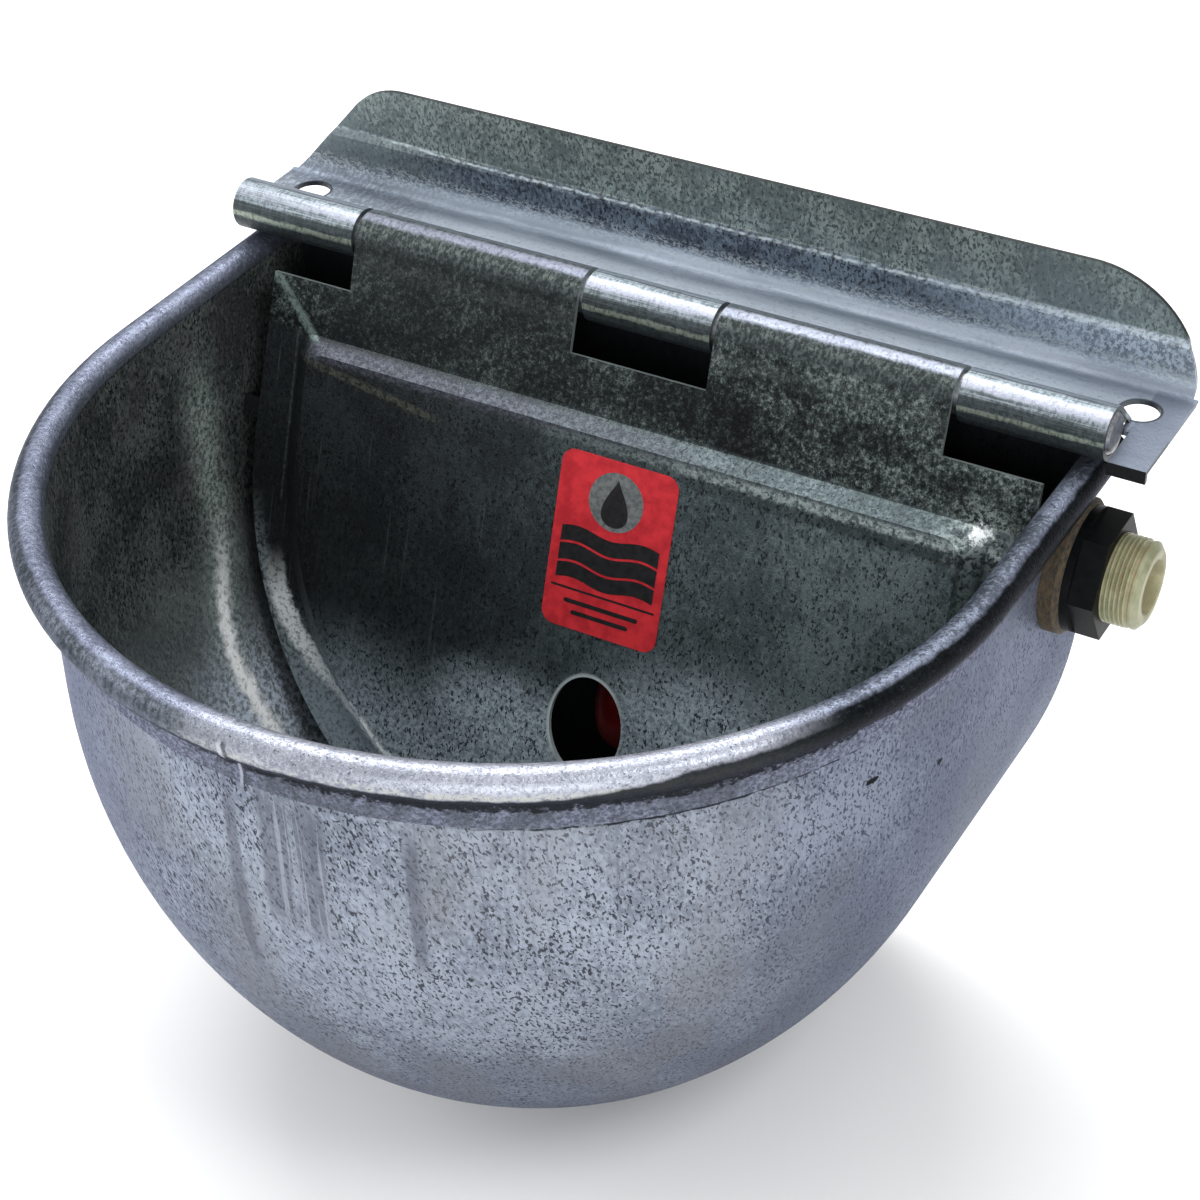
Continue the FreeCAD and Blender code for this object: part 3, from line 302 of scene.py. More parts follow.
# Painted shade: the bead's flank dark and near black on the right, and its top darker on the right
deep_at = g.step(g.add(g.mul(shade, 0.72), g.mul(cross, 0.28)), 0.4, 0.6)
deep = g.mix(deep_at, rgb(48, 53, 57), rgb(98, 104, 114))
on_top = g.step(g.sub(beta, g.mul(left, 8.0)), 54.0, 70.0)
to_right = g.step(ux, 0.45, 0.8)
deep = g.paint(deep, g.mix(g.step(shade, 0.4, 0.66), rgb(5, 7, 8), rgb(26, 31, 32)), to_right)
dim = g.mix(g.step(shade, 0.44, 0.54), rgb(62, 68, 76), rgb(106, 113, 128))
grey = g.paint(grey, dim, g.mul(g.step(ux, 0.7, 0.95), g.step(beta, 66.0, 90.0, 0.45, 0.95)))
sides = g.mix(on_top, deep, grey)
# Painted shade in patches low on the front of the bead
pale = g.paint(pale, rgb(92, 97, 112), g.mul(g.step(mottle, 0.5, 0.6), g.step(beta, 20.0, 50.0, 0.0, 0.5)))
bead = g.mix(front, sides, pale)
# Warm painted highlight line low on the front of the bead
warm_line = g.mul(g.band(beta, -14.0, 6.0, 8.0), g.step(shade, 0.42, 0.6, 0.0, 0.8))
bead = g.paint(bead, rgb(180, 182, 170), g.mul(warm_line, front))
# Painted shade on the bead's underside, reaching higher on the right
bead_underside_shade = g.step(g.sub(beta, g.step(ux, 0.5, 0.8, 0.0, 46.0)), -10.0, -24.0, 0.0, 0.95)
bead = g.paint(bead, rgb(17, 21, 21), bead_underside_shade)
# Painted shade on the bead's inner side, near black on the right
far_side = g.mul(g.step(beta, 136.0, 158.0), g.step(ux, 0.2, 0.7, 0.6, 0.95))
bead = g.paint(bead, g.mix(to_right, rgb(84, 90, 98), rgb(16, 19, 20)), far_side)
nick = g.step(g.noise(g.stretch(p, 1.0, 1.0, 1.6), 0.9, 2.0, 0.6), 0.62, 0.68)
bead = g.paint(bead, rgb(50, 54, 62), nick, 0.6)
# A seam across the rim at the front: a pale line, with painted shade beside it
seam_at, in_front = g.add(lx, g.wobble(3.0, p, 0.3, 2.0)), g.step(uy, 0.0, -0.5)
seam = g.mul(g.band(seam_at, -2.6, -1.5, 0.3), in_front)
seam_shade = g.mul(g.band(seam_at, -1.4, 0.2, 0.4), in_front)
low_on_bead = g.step(beta, 40.0, 20.0)
bead = g.paint(bead, rgb(40, 44, 48), g.mul(seam_shade, low_on_bead), 0.7)
bead = g.paint(bead, rgb(190, 193, 200), g.mul(seam, low_on_bead), 0.8)
skirt = g.mix(g.mul(seam, 0.7), g.paint(skirt, rgb(52, 55, 64), seam_shade, 0.6), rgb(166, 169, 182))
# Inner wall: dark green grey, paler low on the left, where light and reflections are painted
inner, _, _ = zinc(g, p, rgb(74, 81, 80), rgb(24, 28, 28), rgb(124, 132, 130),
                   grain=0.75, along=(0.8, 0.8, 0.5), amount=0.8)
inner = g.paint(inner, rgb(84, 78, 82), g.step(g.noise(p, 0.035, 3.0, 0.6), 0.5, 0.68, 0.0, 0.4))
# Painted light: paler low in the bowl, away from the upright wall
inner = g.paint(inner, rgb(150, 158, 160), g.step(g.abs(g.sub(r, INNER_RADIUS)), 1.6, 5.0, 0.0, 0.3))
# Painted reflections on the inner left wall: a pale green band, a pale blue patch low down and a white streak, made
# less metallic
curve = g.sub(y, g.step(z, -72.0, -124.0, 28.0, 11.5))
curve = g.add(curve, g.wobble(9.0, p, 0.18, 4.0, 0.7))
on_left = g.step(x, -60.0, -90.0)
off = g.abs(curve)
reflection_grain = g.noise(p, 0.55, 4.0, 0.75)
reflection_speckle = g.step(reflection_grain, 0.42, 0.58, 0.25, 1.0)
fall = g.mul(on_left, g.step(z, -4.0, -40.0))
green = g.mul(g.mul(g.step(off, 15.0, 0.0), fall), reflection_speckle)
inner = g.paint(inner, rgb(172, 188, 182), green, 0.7)
low = g.mul(g.mul(g.step(z, -98.0, -140.0), g.mul(g.step(y, -34.0, 6.0), on_left)), reflection_speckle)
inner = g.paint(inner, rgb(206, 218, 236), low, 0.95)
shine = g.mul(g.mul(g.step(off, 5.4, 0.8), on_left), g.step(z, -70.0, -108.0))
shine = g.mul(shine, g.step(reflection_grain, 0.34, 0.5, 0.45, 1.0))
inner = g.paint(inner, rgb(252, 254, 254), shine)
lit = g.high(shine, g.mul(g.high(low, green), 0.7))
g.set("Metallic", g.sub(0.68, g.mul(g.mul(lit, g.sub(1.0, outside)), 0.68)))
colour = g.mix(outside, inner, g.mix(skirt_here, wall, skirt))
# A dark painted shadow line under the skirt on the right, broken in places
line_at = g.add(z, g.wobble(1.6, g.stretch(p, 0.2, 0.2, 0.2), 1.0, 2.0))
line_gap = g.step(g.noise(p, 0.12, 3.0, 0.6), 0.36, 0.5, 0.25, 0.95)
under_line = g.mul(g.mul(g.band(line_at, -18.3, -17.5, 0.2), outside), g.mul(g.step(ux, 0.3, 0.55), line_gap))
colour = g.paint(colour, rgb(16, 18, 22), under_line)
colour = g.paint(colour, bead, on_bead)
g.set("Base Color", colour)
rough = g.add(0.36, g.mul(tone, 0.14))
g.set("Roughness", g.sub(g.add(rough, g.mul(dash, 0.12)), g.mul(on_bead, 0.08)))
fine = g.noise(p, 0.7, 3.0, 0.6)
height = g.add(g.mul(fine, 0.5), g.add(g.mul(g.noise(p, 0.06, 2.0), 1.6), g.mul(dash, -0.8)))
g.bump(g.add(height, g.mul(g.mul(mottle, on_bead), 0.6)), 0.45, 0.0004)
zinc_bowl = g.mat

# Rear wall
g = Graph("zinc_sheet", Metallic=0.72)
p, x, y, z = g.place()
colour, speck, tone = zinc(g, p, rgb(98, 102, 112), rgb(46, 48, 55), rgb(122, 127, 138), amount=0.4)
ny = g.split(g.coord.outputs["Normal"])[1]
# Painted shade: the wall near black on its faces turned to the front and towards the front
colour = g.paint(colour, rgb(24, 27, 29), g.high(g.step(ny, -0.1, -0.4), g.step(y, 66.0, 60.0)), 0.9)
g.set("Base Color", colour)
g.set("Roughness", g.add(0.38, g.mul(tone, 0.2)))
g.bump(g.add(g.noise(p, 0.5, 3.0), g.mul(speck, -0.3)), 0.3, 0.0004)
zinc_sheet = g.mat

# Bracket
g = Graph("zinc_bracket", Metallic=0.68)
p, x, y, z = g.place()
nx, ny, nz = g.split(g.coord.outputs["Normal"])
flange, f_speck, tone = zinc(g, p, rgb(88, 98, 97), rgb(26, 33, 33), rgb(146, 158, 154),
                             grain=0.8, along=(0.8, 0.8, 0.55), amount=0.9, cloud=0.05)
flange = g.paint(flange, rgb(100, 112, 116), g.step(g.noise(p, 0.03, 3.0, 0.6), 0.5, 0.7, 0.0, 0.5))
ends_x = g.step(g.abs(g.sub(x, 10.0)), 60.0, 150.0, 0.5, 1.0)
flange = g.paint(flange, rgb(128, 140, 144), ends_x, 0.35)
# The strip below the crease: a darker zinc for painted shade, paler and speckled towards its right end in painted
# light
strip, _, _ = zinc(g, p, rgb(58, 66, 76), rgb(20, 25, 32), rgb(106, 118, 130),
                   grain=0.85, along=(0.8, 0.8, 0.6), amount=0.8, cloud=0.03)
right_end_speckle = g.step(g.noise(g.stretch(p, 1.0, 1.0, 0.8), 0.8, 3.0, 0.75), 0.42, 0.58)
strip = g.paint(strip, rgb(176, 188, 200), g.mul(g.step(x, 50.0, 150.0), g.add(0.3, g.mul(right_end_speckle, 0.65))))
shelf = g.noise(g.stretch(p, 0.02, 0.2, 0.2), 1.0, 4.0, 0.6)
smooth = g.mix(g.step(shelf, 0.38, 0.62), rgb(124, 134, 146), rgb(150, 159, 172))
# Painted highlight: a pale band across the middle of the ledge
smooth = g.paint(smooth, rgb(190, 199, 210), g.band(y, 94.5, 103.0, 3.5), 0.75)
smooth = g.paint(smooth, rgb(110, 120, 132), g.step(g.noise(p, 0.6, 3.0, 0.7), 0.54, 0.66), 0.35)
smooth = g.paint(smooth, rgb(120, 126, 140), g.step(g.abs(x), 100.0, 150.0), 0.3)
# Knuckles: painted reflections in bands by the angle round the hinge: lighter over the top with a thin dark line, a
# pale bar on the upper front, painted shade lower down and a pale low bar
away = g.angle(g.sub(z, HINGE[2]), g.sub(HINGE[1], y))
wander = g.wobble(16.0, g.stretch(p, 0.12, 0.5, 0.5), 1.0, 4.0, 0.65)
theta = g.add(away, wander)
fuzz = g.noise(g.stretch(p, 0.9, 0.5, 0.5), 1.0, 4.0, 0.7)
lines = g.noise(g.stretch(g.join(x, away, 0.0), 0.03, 0.35, 1.0), 1.0, 3.0, 0.6)
barrel_at = g.step(g.add(g.mul(fuzz, 0.5), g.mul(lines, 0.5)), 0.42, 0.58)
barrel = g.mix(barrel_at, rgb(84, 94, 98), rgb(142, 152, 160))
barrel = g.paint(barrel, rgb(120, 130, 142), g.band(theta, 90.0, 150.0, 6.0), 0.7)
bar = g.mul(g.band(theta, 46.0, 74.0, 4.0), g.step(fuzz, 0.3, 0.5, 0.4, 0.9))
barrel = g.paint(barrel, rgb(172, 176, 190), g.mul(bar, g.step(x, -140.0, -90.0, 0.4, 1.0)))
barrel = g.paint(barrel, rgb(32, 40, 40), g.step(theta, 36.0, 28.0), 0.8)
low_bar = g.mul(g.band(theta, -4.0, 8.0, 3.0), g.step(fuzz, 0.36, 0.54, 0.3, 0.85))
barrel = g.paint(barrel, rgb(156, 166, 154), low_bar)
barrel = g.paint(barrel, rgb(44, 48, 54), g.band(theta, 91.0, 96.0, 1.5), 0.7)
on_barrel = g.step(y, 86.5, 84.0)
bend = g.step(z, 11.5, 14.5)
# Painted highlight: the bend up from the ledge is paler
colour = g.mix(bend, smooth, g.mix(g.step(shelf, 0.4, 0.6), rgb(140, 151, 164), rgb(164, 174, 186)))
far_left = g.step(g.add(x, g.wobble(60.0, p, 0.05, 3.0, 0.6)), -70.0, -135.0)
colour = g.paint(colour, rgb(78, 86, 98), g.mul(far_left, g.step(fuzz, 0.36, 0.56, 0.2, 0.75)))
strip = g.paint(strip, flange, far_left, 0.8)
colour = g.paint(colour, strip, g.step(g.add(z, g.mul(g.noise(p, 0.5, 3.0, 0.7), 4.0)), 16.0, 19.0))
# A pale painted highlight line along the crease under the flange
crease_at = g.add(g.sub(z, g.mul(far_left, 1.6)), g.wobble(1.2, p, 0.4, 2.0))
colour = g.paint(colour, flange, g.step(z, 26.5, 27.5))
crease_line = g.mul(g.band(crease_at, 25.7, 26.4, 0.25), g.step(g.noise(p, 0.5, 3.0), 0.4, 0.56, 0.2, 0.9))
colour = g.paint(colour, rgb(164, 176, 182), crease_line)
# A pale speckled painted highlight along the bend
fine_speckle = g.mul(g.band(z, 13.5, 18.0, 1.6), g.step(g.noise(g.stretch(p, 0.9, 1.4, 1.4), 1.0, 3.0, 0.7), 0.46, 0.58))
colour = g.paint(colour, rgb(182, 190, 194), fine_speckle, 0.7)
colour = g.paint(colour, barrel, g.mul(on_barrel, g.step(x, 148.6, 148.3)))
ear = g.mul(g.step(x, 149.2, 149.8), g.step(z, 11.2, 10.8))
colour = g.paint(colour, rgb(106, 114, 128), ear, 0.8)
# Painted shade: a dark ring at the edge of each ear hole
hole = g.length(g.join(g.sub(x, RIGHT_HOLE[0]), g.sub(y, RIGHT_HOLE[1]), 0.0))
hole = g.low(hole, g.length(g.join(g.sub(x, LEFT_HOLE[0]), g.sub(y, LEFT_HOLE[1]), 0.0)))
colour = g.paint(colour, rgb(34, 38, 42), g.step(hole, EAR_HOLE + 1.1, EAR_HOLE + 0.3, 0.0, 0.85))
# Painted shade: the ear lip's underside near black
lip = g.mul(g.mul(ear, g.step(ny, -0.6, -0.9)), g.step(y, 75.0, 70.0))
colour = g.paint(colour, rgb(18, 20, 22), lip)
rim_edge = g.mul(g.step(z, 27.0, 28.5), g.step(g.abs(ny), 0.6, 0.3))
colour = g.paint(colour, rgb(20, 24, 24), rim_edge, 0.9)
# Painted shade on the knuckles' end faces
ends = g.mul(g.step(g.abs(nx), 0.8, 0.95), on_barrel)
colour = g.paint(colour, rgb(54, 64, 64), ends, 0.75)
# Painted shade: downward faces behind the knuckles near black
under = g.mul(g.step(nz, -0.3, -0.6), g.step(y, 84.0, 86.0))
colour = g.paint(colour, rgb(14, 16, 17), under, 0.95)
g.set("Base Color", colour)
g.set("Roughness", g.add(0.36, g.mul(tone, 0.22)))
g.bump(g.add(g.mul(g.noise(p, 0.6, 3.0), 0.8), g.mul(f_speck, -0.3)), 0.35, 0.0004)
zinc_bracket = g.mat

# Cover
g = Graph("zinc_cover")
p, x, y, z = g.place()
nx, ny, nz = g.split(g.coord.outputs["Normal"])
c, s = math.cos(TILT), math.sin(TILT)
py, pz = g.sub(y, HINGE[1]), g.sub(z, HINGE[2])
cy = g.sub(g.mul(py, c), g.mul(pz, s))
cz = g.add(g.mul(py, s), g.mul(pz, c))
cny = g.sub(g.mul(ny, c), g.mul(nz, s))
local = g.join(x, cy, cz)
# From left to right the plate goes from nearly black green to a lighter, bluer grey
shifted = g.add(x, g.wobble(90.0, local, 0.02, 4.0, 0.6))
across = g.step(shifted, -110.0, 90.0)
_, speck, tone = zinc(g, local, rgb(38, 43, 43), rgb(12, 15, 16), rgb(74, 82, 82),
                      grain=0.55, along=(0.8, 0.8, 0.6), amount=0.9, cloud=0.05)
smoke = g.noise(local, 0.045, 5.0, 0.65, 0.6)
fine_speckle = g.noise(g.stretch(local, 1.0, 1.0, 0.85), 0.8, 4.0, 0.8)
dusk = g.length(g.stretch(g.vec("SUBTRACT", local, (28.0, -12.0, -25.0)), 0.5, 0.0, 1.2))
level = g.add(fine_speckle, g.mul(g.sub(smoke, 0.5), 0.42))
level = g.add(level, g.sub(g.mul(across, 0.035), g.step(dusk, 16.0, 4.0, 0.0, 0.07)))
upper = g.ramp(level, [(0.36, rgb(8, 10, 11)), (0.47, rgb(26, 31, 32)), (0.57, rgb(62, 71, 70)),
                       (0.7, rgb(132, 143, 141))], "LINEAR")
other = g.vec("ADD", local, (40.0, 7.0, 13.0))
deep, _, _ = zinc(g, other, rgb(35, 39, 41), rgb(15, 18, 20), rgb(50, 56, 58),
                  grain=0.7, along=(0.85, 0.85, 0.5), amount=0.5)
light, light_speck, _ = zinc(g, other, rgb(78, 90, 94), rgb(28, 34, 37), rgb(116, 130, 134),
                             grain=0.7, along=(0.85, 0.85, 0.5), amount=0.6)
lower = g.mix(g.mul(across, g.step(g.abs(g.sub(x, 45.0)), 90.0, 30.0, 0.6, 1.0)), deep, light)
# Painted reflection low on the plate: pale blue patches, stronger towards the bottom
reflection_height = g.add(g.mul(g.noise(local, 0.03, 3.0, 0.5), 40.0), cz)
blue = g.mix(g.step(g.noise(local, 0.6, 4.0, 0.7), 0.4, 0.6), rgb(124, 138, 147), rgb(182, 196, 206))
blue = g.paint(blue, rgb(50, 60, 68), g.step(light_speck, 0.2, 0.8))
low_reflection = g.step(g.sub(reflection_height, g.mul(x, 0.12)), -84.0, -138.0, 0.0, 0.86)
billow = g.mul(g.sub(smoke, 0.5), 16.0)
for gx, gz, wide, tight, most in ((-22.0, -140.0, 26.0, 6.0, 1.0), (42.0, -122.0, 32.0, 4.0, 0.8)):
    glow = g.length(g.stretch(g.vec("SUBTRACT", local, (gx, -12.0, gz)), 0.6, 0.0, 1.0))
    low_reflection = g.high(low_reflection, g.step(g.add(glow, billow), wide, tight, 0.0, most))
lower = g.paint(lower, blue, low_reflection)
scratch = g.step(g.noise(g.stretch(local, 0.7, 0.7, 0.02), 1.0, 2.0, 0.5), 0.66, 0.7)
lower = g.paint(lower, rgb(150, 160, 160), scratch, 0.1)
in_panel = g.step(cz, -33.0, -36.0)
# Painted shade at the top left of the plate
upper = g.paint(upper, rgb(30, 35, 36), g.mul(g.sub(1.0, across), g.step(x, -122.0, -100.0, 0.0, 0.6)))
colour = g.mix(in_panel, upper, lower)
fore = g.step(cny, 0.1, -0.1)
grain2 = g.noise(local, 0.6, 4.0, 0.7)
# The panel's slopes in painted light and shade: grey at the top and paler to the right, with a pale painted highlight
# line and a painted shadow line below it, warm and pale painted highlight lines on the left, and a bright painted
# highlight low on the left
blur = g.mul(g.sub(grain2, 0.5), 3.0)
top_line = g.mul(g.band(g.add(cz, blur), -41.0, -35.5, 1.2), g.band(x, -113.0, 119.0, 1.5))
band = g.mix(g.step(grain2, 0.42, 0.6), rgb(62, 65, 74), rgb(92, 96, 106))
band_right = g.mix(g.step(grain2, 0.46, 0.62), rgb(34, 40, 42), rgb(92, 102, 103))
band = g.paint(band, band_right, g.step(shifted, -40.0, 70.0))
colour = g.paint(colour, band, g.mul(top_line, g.step(shifted, -40.0, 60.0, 0.8, 0.3)))
line_grows = g.step(shifted, -50.0, 90.0)
# Painted shadow line below the top slope, growing to the right
dark_line = g.mul(g.band(g.add(cz, blur), -47.0, -43.0, 0.9), line_grows)
colour = g.paint(colour, rgb(18, 22, 23), dark_line, 0.55)
# Pale painted highlight line on the top slope, growing to the right
low_line = g.mul(g.band(g.add(cz, g.mul(blur, 1.3)), -42.6, -39.8, 0.9), line_grows)
colour = g.paint(colour, rgb(172, 184, 184), g.mul(low_line, g.step(grain2, 0.42, 0.55, 0.1, 0.95)))
# Warm painted highlight on the left part of the top slope
warm_at = g.add(cz, g.mul(g.add(x, 112.0), 0.14))
warm_edge = g.mul(g.band(g.add(warm_at, blur), -42.5, -40.3, 0.7), g.band(x, -114.0, -62.0, 6.0))
colour = g.paint(colour, rgb(118, 120, 104), g.mul(warm_edge, g.step(grain2, 0.4, 0.56, 0.05, 0.45)))
# A thin pale painted highlight line down the left slope
side_line = g.mul(g.band(x, PANEL_LEFT - 0.4, PANEL_LEFT + 0.4, 0.25), g.band(cz, -92.0, -34.0, 2.0))
colour = g.paint(colour, rgb(104, 116, 114), g.mul(side_line, g.step(grain2, 0.4, 0.56, 0.1, 0.45)))
# A bright painted highlight on the curved slope low on the left, with a paler painted border round it
fx, fz = g.sub(x, 1.9), g.add(cz, 74.0)
reach = g.hypot(fx, fz)
turn = g.angle(fz, fx)
track = g.sub(reach, g.step(turn, -158.0, -128.0, 127.0, 113.0))
track = g.add(track, g.wobble(7.0, local, 0.22, 4.0, 0.7))
thick = g.step(turn, -128.0, -156.0, 1.2, 3.6)
arc = g.mul(g.step(g.add(track, thick), -1.4, 0.6), g.step(g.sub(track, thick), 2.4, -1.6))
arc = g.mul(g.mul(arc, g.band(turn, -160.0, -120.0, 5.0)), g.step(grain2, 0.36, 0.52, 0.35, 1.0))
border = g.mul(g.mul(g.step(track, 0.0, 5.0), g.band(turn, -168.0, -128.0, 7.0)), g.step(x, 0.0, -20.0))
border = g.mul(border, g.step(grain2, 0.4, 0.58, 0.08, 0.8))
border, arc = g.mul(border, fore), g.mul(arc, fore)
colour = g.paint(colour, rgb(150, 162, 166), border)
colour = g.paint(colour, rgb(246, 250, 252), arc)
# Painted highlight: a pale rim round the hole, strongest on one side
ring_x, ring_z = g.mul(g.sub(x, HOLE_X), 1.0 / HOLE_WIDE), g.mul(g.sub(cz, HOLE_Z), 1.0 / HOLE_TALL)
ring = g.hypot(ring_x, ring_z)
ring = g.mul(g.step(ring, 1.1, 1.03), g.step(g.sub(ring_z, ring_x), -0.6, 0.6, 0.2, 0.95))
colour = g.paint(colour, rgb(206, 216, 220), ring)
# Painted highlight on the panel's right corner, with pale painted specks round it and a pale painted line down the
# right slope; and the bent line from the plate's left corner to the panel's, with a painted highlight along it
corner_glint_reach = g.length(g.join(g.sub(x, PANEL_RIGHT), 0.0, g.sub(cz, PANEL_TOP - 0.5)))
corner_glint_reach = g.add(corner_glint_reach, g.wobble(12.0, local, 0.45, 4.0, 0.75))
fringe = g.mul(g.mul(g.step(corner_glint_reach, 15.0, 3.0), g.step(grain2, 0.46, 0.58)), fore)
colour = g.paint(colour, rgb(170, 182, 180), fringe, 0.65)
star = g.mul(g.step(corner_glint_reach, 3.4, 1.4), fore)
tail_at = g.add(g.add(x, g.mul(g.add(cz, 36.0), -0.04)), g.mul(blur, 1.4))
tail = g.mul(g.mul(g.band(tail_at, 117.0, 120.6, 1.4), g.band(cz, -68.0, -38.0, 8.0)), g.step(grain2, 0.42, 0.56))
colour = g.paint(colour, rgb(160, 172, 170), g.mul(tail, fore), 0.6)
colour = g.paint(colour, rgb(244, 248, 250), star)
lit = g.high(g.high(star, arc), g.mul(g.high(border, low_reflection), 0.6))
g.set("Metallic", g.sub(0.68, g.mul(g.mul(lit, in_panel), 0.6)))
# Painted highlight along the bent line from the plate's left corner to the panel's
bx = g.add(g.add(x, g.mul(g.add(cz, 18.0), 0.95)), blur)
ridge = g.mul(g.band(bx, -130.5, -126.5, 1.0), g.band(cz, -36.0, -17.0, 1.0))
colour = g.paint(colour, rgb(128, 146, 142), g.mul(ridge, g.step(grain2, 0.36, 0.56, 0.25, 0.85)))
# Curls along the hinge: painted highlight bars by the angle round the hinge, and a faint pale painted highlight line
# just below them
theta = g.angle(cz, g.mul(cy, -1.0))
wander = g.wobble(14.0, g.stretch(local, 0.12, 0.5, 0.5), 1.0, 4.0, 0.65)
theta = g.add(theta, wander)
fuzz = g.noise(g.stretch(local, 0.9, 0.6, 0.6), 1.0, 4.0, 0.7)
barrel = g.mix(g.step(fuzz, 0.42, 0.62), rgb(38, 44, 45), rgb(80, 88, 88))
low_bar = g.mul(g.band(theta, 20.0, 30.0, 4.0), g.step(fuzz, 0.46, 0.6, 0.05, 0.4))
barrel = g.paint(barrel, rgb(112, 124, 116), low_bar)
top_bar = g.mix(g.step(shifted, -60.0, 60.0), rgb(134, 138, 156), rgb(154, 160, 176))
bar = g.mul(g.band(theta, 45.0, 72.0, 6.0), g.step(fuzz, 0.32, 0.52, 0.45, 1.0))
barrel = g.paint(barrel, top_bar, g.mul(bar, g.step(shifted, -120.0, 40.0, 0.45, 0.85)))
barrel = g.paint(barrel, rgb(100, 108, 118), g.step(theta, 74.0, 84.0), 0.7)
colour = g.paint(colour, barrel, g.step(cz, -3.0, 1.0))
mid_line = g.mul(g.band(g.add(cz, g.mul(blur, 2.0)), -9.5, -4.5, 2.0), g.step(fuzz, 0.44, 0.62, 0.05, 0.35))
colour = g.paint(colour, rgb(88, 96, 92), mid_line)
# Painted highlight on the plate's cut edges and end faces
cut = g.mul(g.step(g.abs(cny), 0.3, 0.15), g.step(cz, -8.0, -9.0))
ends = g.step(g.abs(nx), 0.8, 0.95)
colour = g.paint(colour, rgb(158, 170, 170), g.high(cut, ends), 0.85)
g.set("Base Color", colour)
g.set("Roughness", g.add(0.36, g.add(g.mul(tone, 0.2), g.mul(speck, 0.08))))
height = g.add(g.mul(g.noise(local, 0.6, 3.0, 0.6), 0.8), g.mul(g.noise(local, 0.05, 2.0), 1.5))
g.bump(g.add(height, g.mul(speck, -0.35)), 0.4, 0.0004)
zinc_cover = g.mat


def plain(name, base, other, scale, rough, bump=0.2, depth=0.0002, stretch=(1.0, 1.0, 1.0), **settings):
    """A material of two mingled shades with its own grain."""
    g = Graph(name, **settings)
    p = g.stretch(g.place()[0], *stretch)
    n = g.noise(p, scale, 4.0, 0.6)
    g.set("Base Color", g.mix(g.step(n, 0.35, 0.65), base, other))
    g.set("Roughness", g.add(rough - 0.05, g.mul(n, 0.1)))
    g.bump(g.noise(p, scale * 3.0, 3.0, 0.6), bump, depth)
    return g.mat


nylon = plain("nylon", rgb(124, 126, 95), rgb(154, 154, 124), 0.12, 0.42, Subsurface_Weight=0.12, IOR=1.45)
rubber = plain("rubber", rgb(24, 24, 26), rgb(38, 38, 40), 0.4, 0.75)
fibre = plain("fibre", rgb(32, 28, 19), rgb(70, 56, 34), 0.5, 0.75, bump=0.5, depth=0.0004, stretch=(2.5, 1.0, 1.0))
black_plastic = plain("black_plastic", rgb(3, 4, 5), rgb(8, 10, 11), 0.3, 0.45, IOR=1.3, Specular_IOR_Level=0.3)
brass_pin = plain("brass_pin", rgb(170, 138, 74), rgb(196, 164, 96), 0.3, 0.32, Metallic=1.0, stretch=(1.0, 0.2, 1.0))
brass_lever = plain("brass_lever", rgb(150, 120, 62), rgb(186, 154, 88), 0.25, 0.36, Metallic=1.0)
float_red = plain("float_red", rgb(150, 24, 26), rgb(176, 36, 36), 0.12, 0.4, IOR=1.46)
steel_rod = plain("steel_rod", rgb(118, 120, 124), rgb(158, 160, 166), 0.5, 0.35,
                  Metallic=0.9, stretch=(0.15, 1.0, 1.0))

finishes = {
    "bowl": zinc_bowl, "rear_wall": zinc_sheet, "mounting_bracket": zinc_bracket, "hinge_rod": steel_rod,
    "float_cover": zinc_cover, "cover_stops": zinc_sheet, "inner_gasket": rubber, "fibre_washer": fibre,
    "valve_nut": black_plastic, "float_pivot_pin": brass_pin, "valve_plunger": nylon, "plunger_seal": rubber,
    "float_lever": brass_lever, "float": float_red, "float_pin": brass_pin, "valve_body": nylon,
}
for name, material in finishes.items():
    slots = nodes[name].material_slots
    for i in range(len(slots)):
        slots[i].material = material


def new_piece(name, bm, material, smooth=30.0):
    """An object from a bmesh, with its normals outward and faces smooth up to an angle."""
    bmesh.ops.recalc_face_normals(bm, faces=bm.faces[:])
    mesh = bpy.data.meshes.new(name)
    bm.to_mesh(mesh)
    bm.free()
    obj = bpy.data.objects.new(name, mesh)
    bpy.context.scene.collection.objects.link(obj)
    mesh.materials.append(material)
    for face in mesh.polygons:
        face.use_smooth = True
    mesh.set_sharp_from_angle(angle=math.radians(smooth))
    return obj


# Inlet: the valve's body again, with a real thread where its solid has a plain cylinder
AXIS_Y, AXIS_Z = 71.0 + RIM_Y, -29.3 + RIM_Z
THREAD_START, THREAD_END, COLLAR_END, MOUTH = 155.2, 163.2, 164.4, 166.0
CREST, ROOT, LIP, PITCH = 13.4, 12.55, 11.2, 1.4
TURN = 96
THREAD_STEP = 0.12
bm = bmesh.new()
bm.from_mesh(nodes["valve_body"].data)
bmesh.ops.remove_doubles(bm, verts=bm.verts[:], dist=1e-6)


def off_axis(v):
    """The distance of a vertex from the inlet's axis, in mm."""
    return math.hypot(v.co.y / MM - AXIS_Y, v.co.z / MM - AXIS_Z)


def ring_at(bm, at, radii):
    """A ring of vertices round the inlet's axis, each at its own radius."""
    return [bm.verts.new(Vector((at, AXIS_Y + radius * math.cos(2 * math.pi * k / TURN),
                                 AXIS_Z + radius * math.sin(2 * math.pi * k / TURN))) * MM)
            for k, radius in enumerate(radii)]


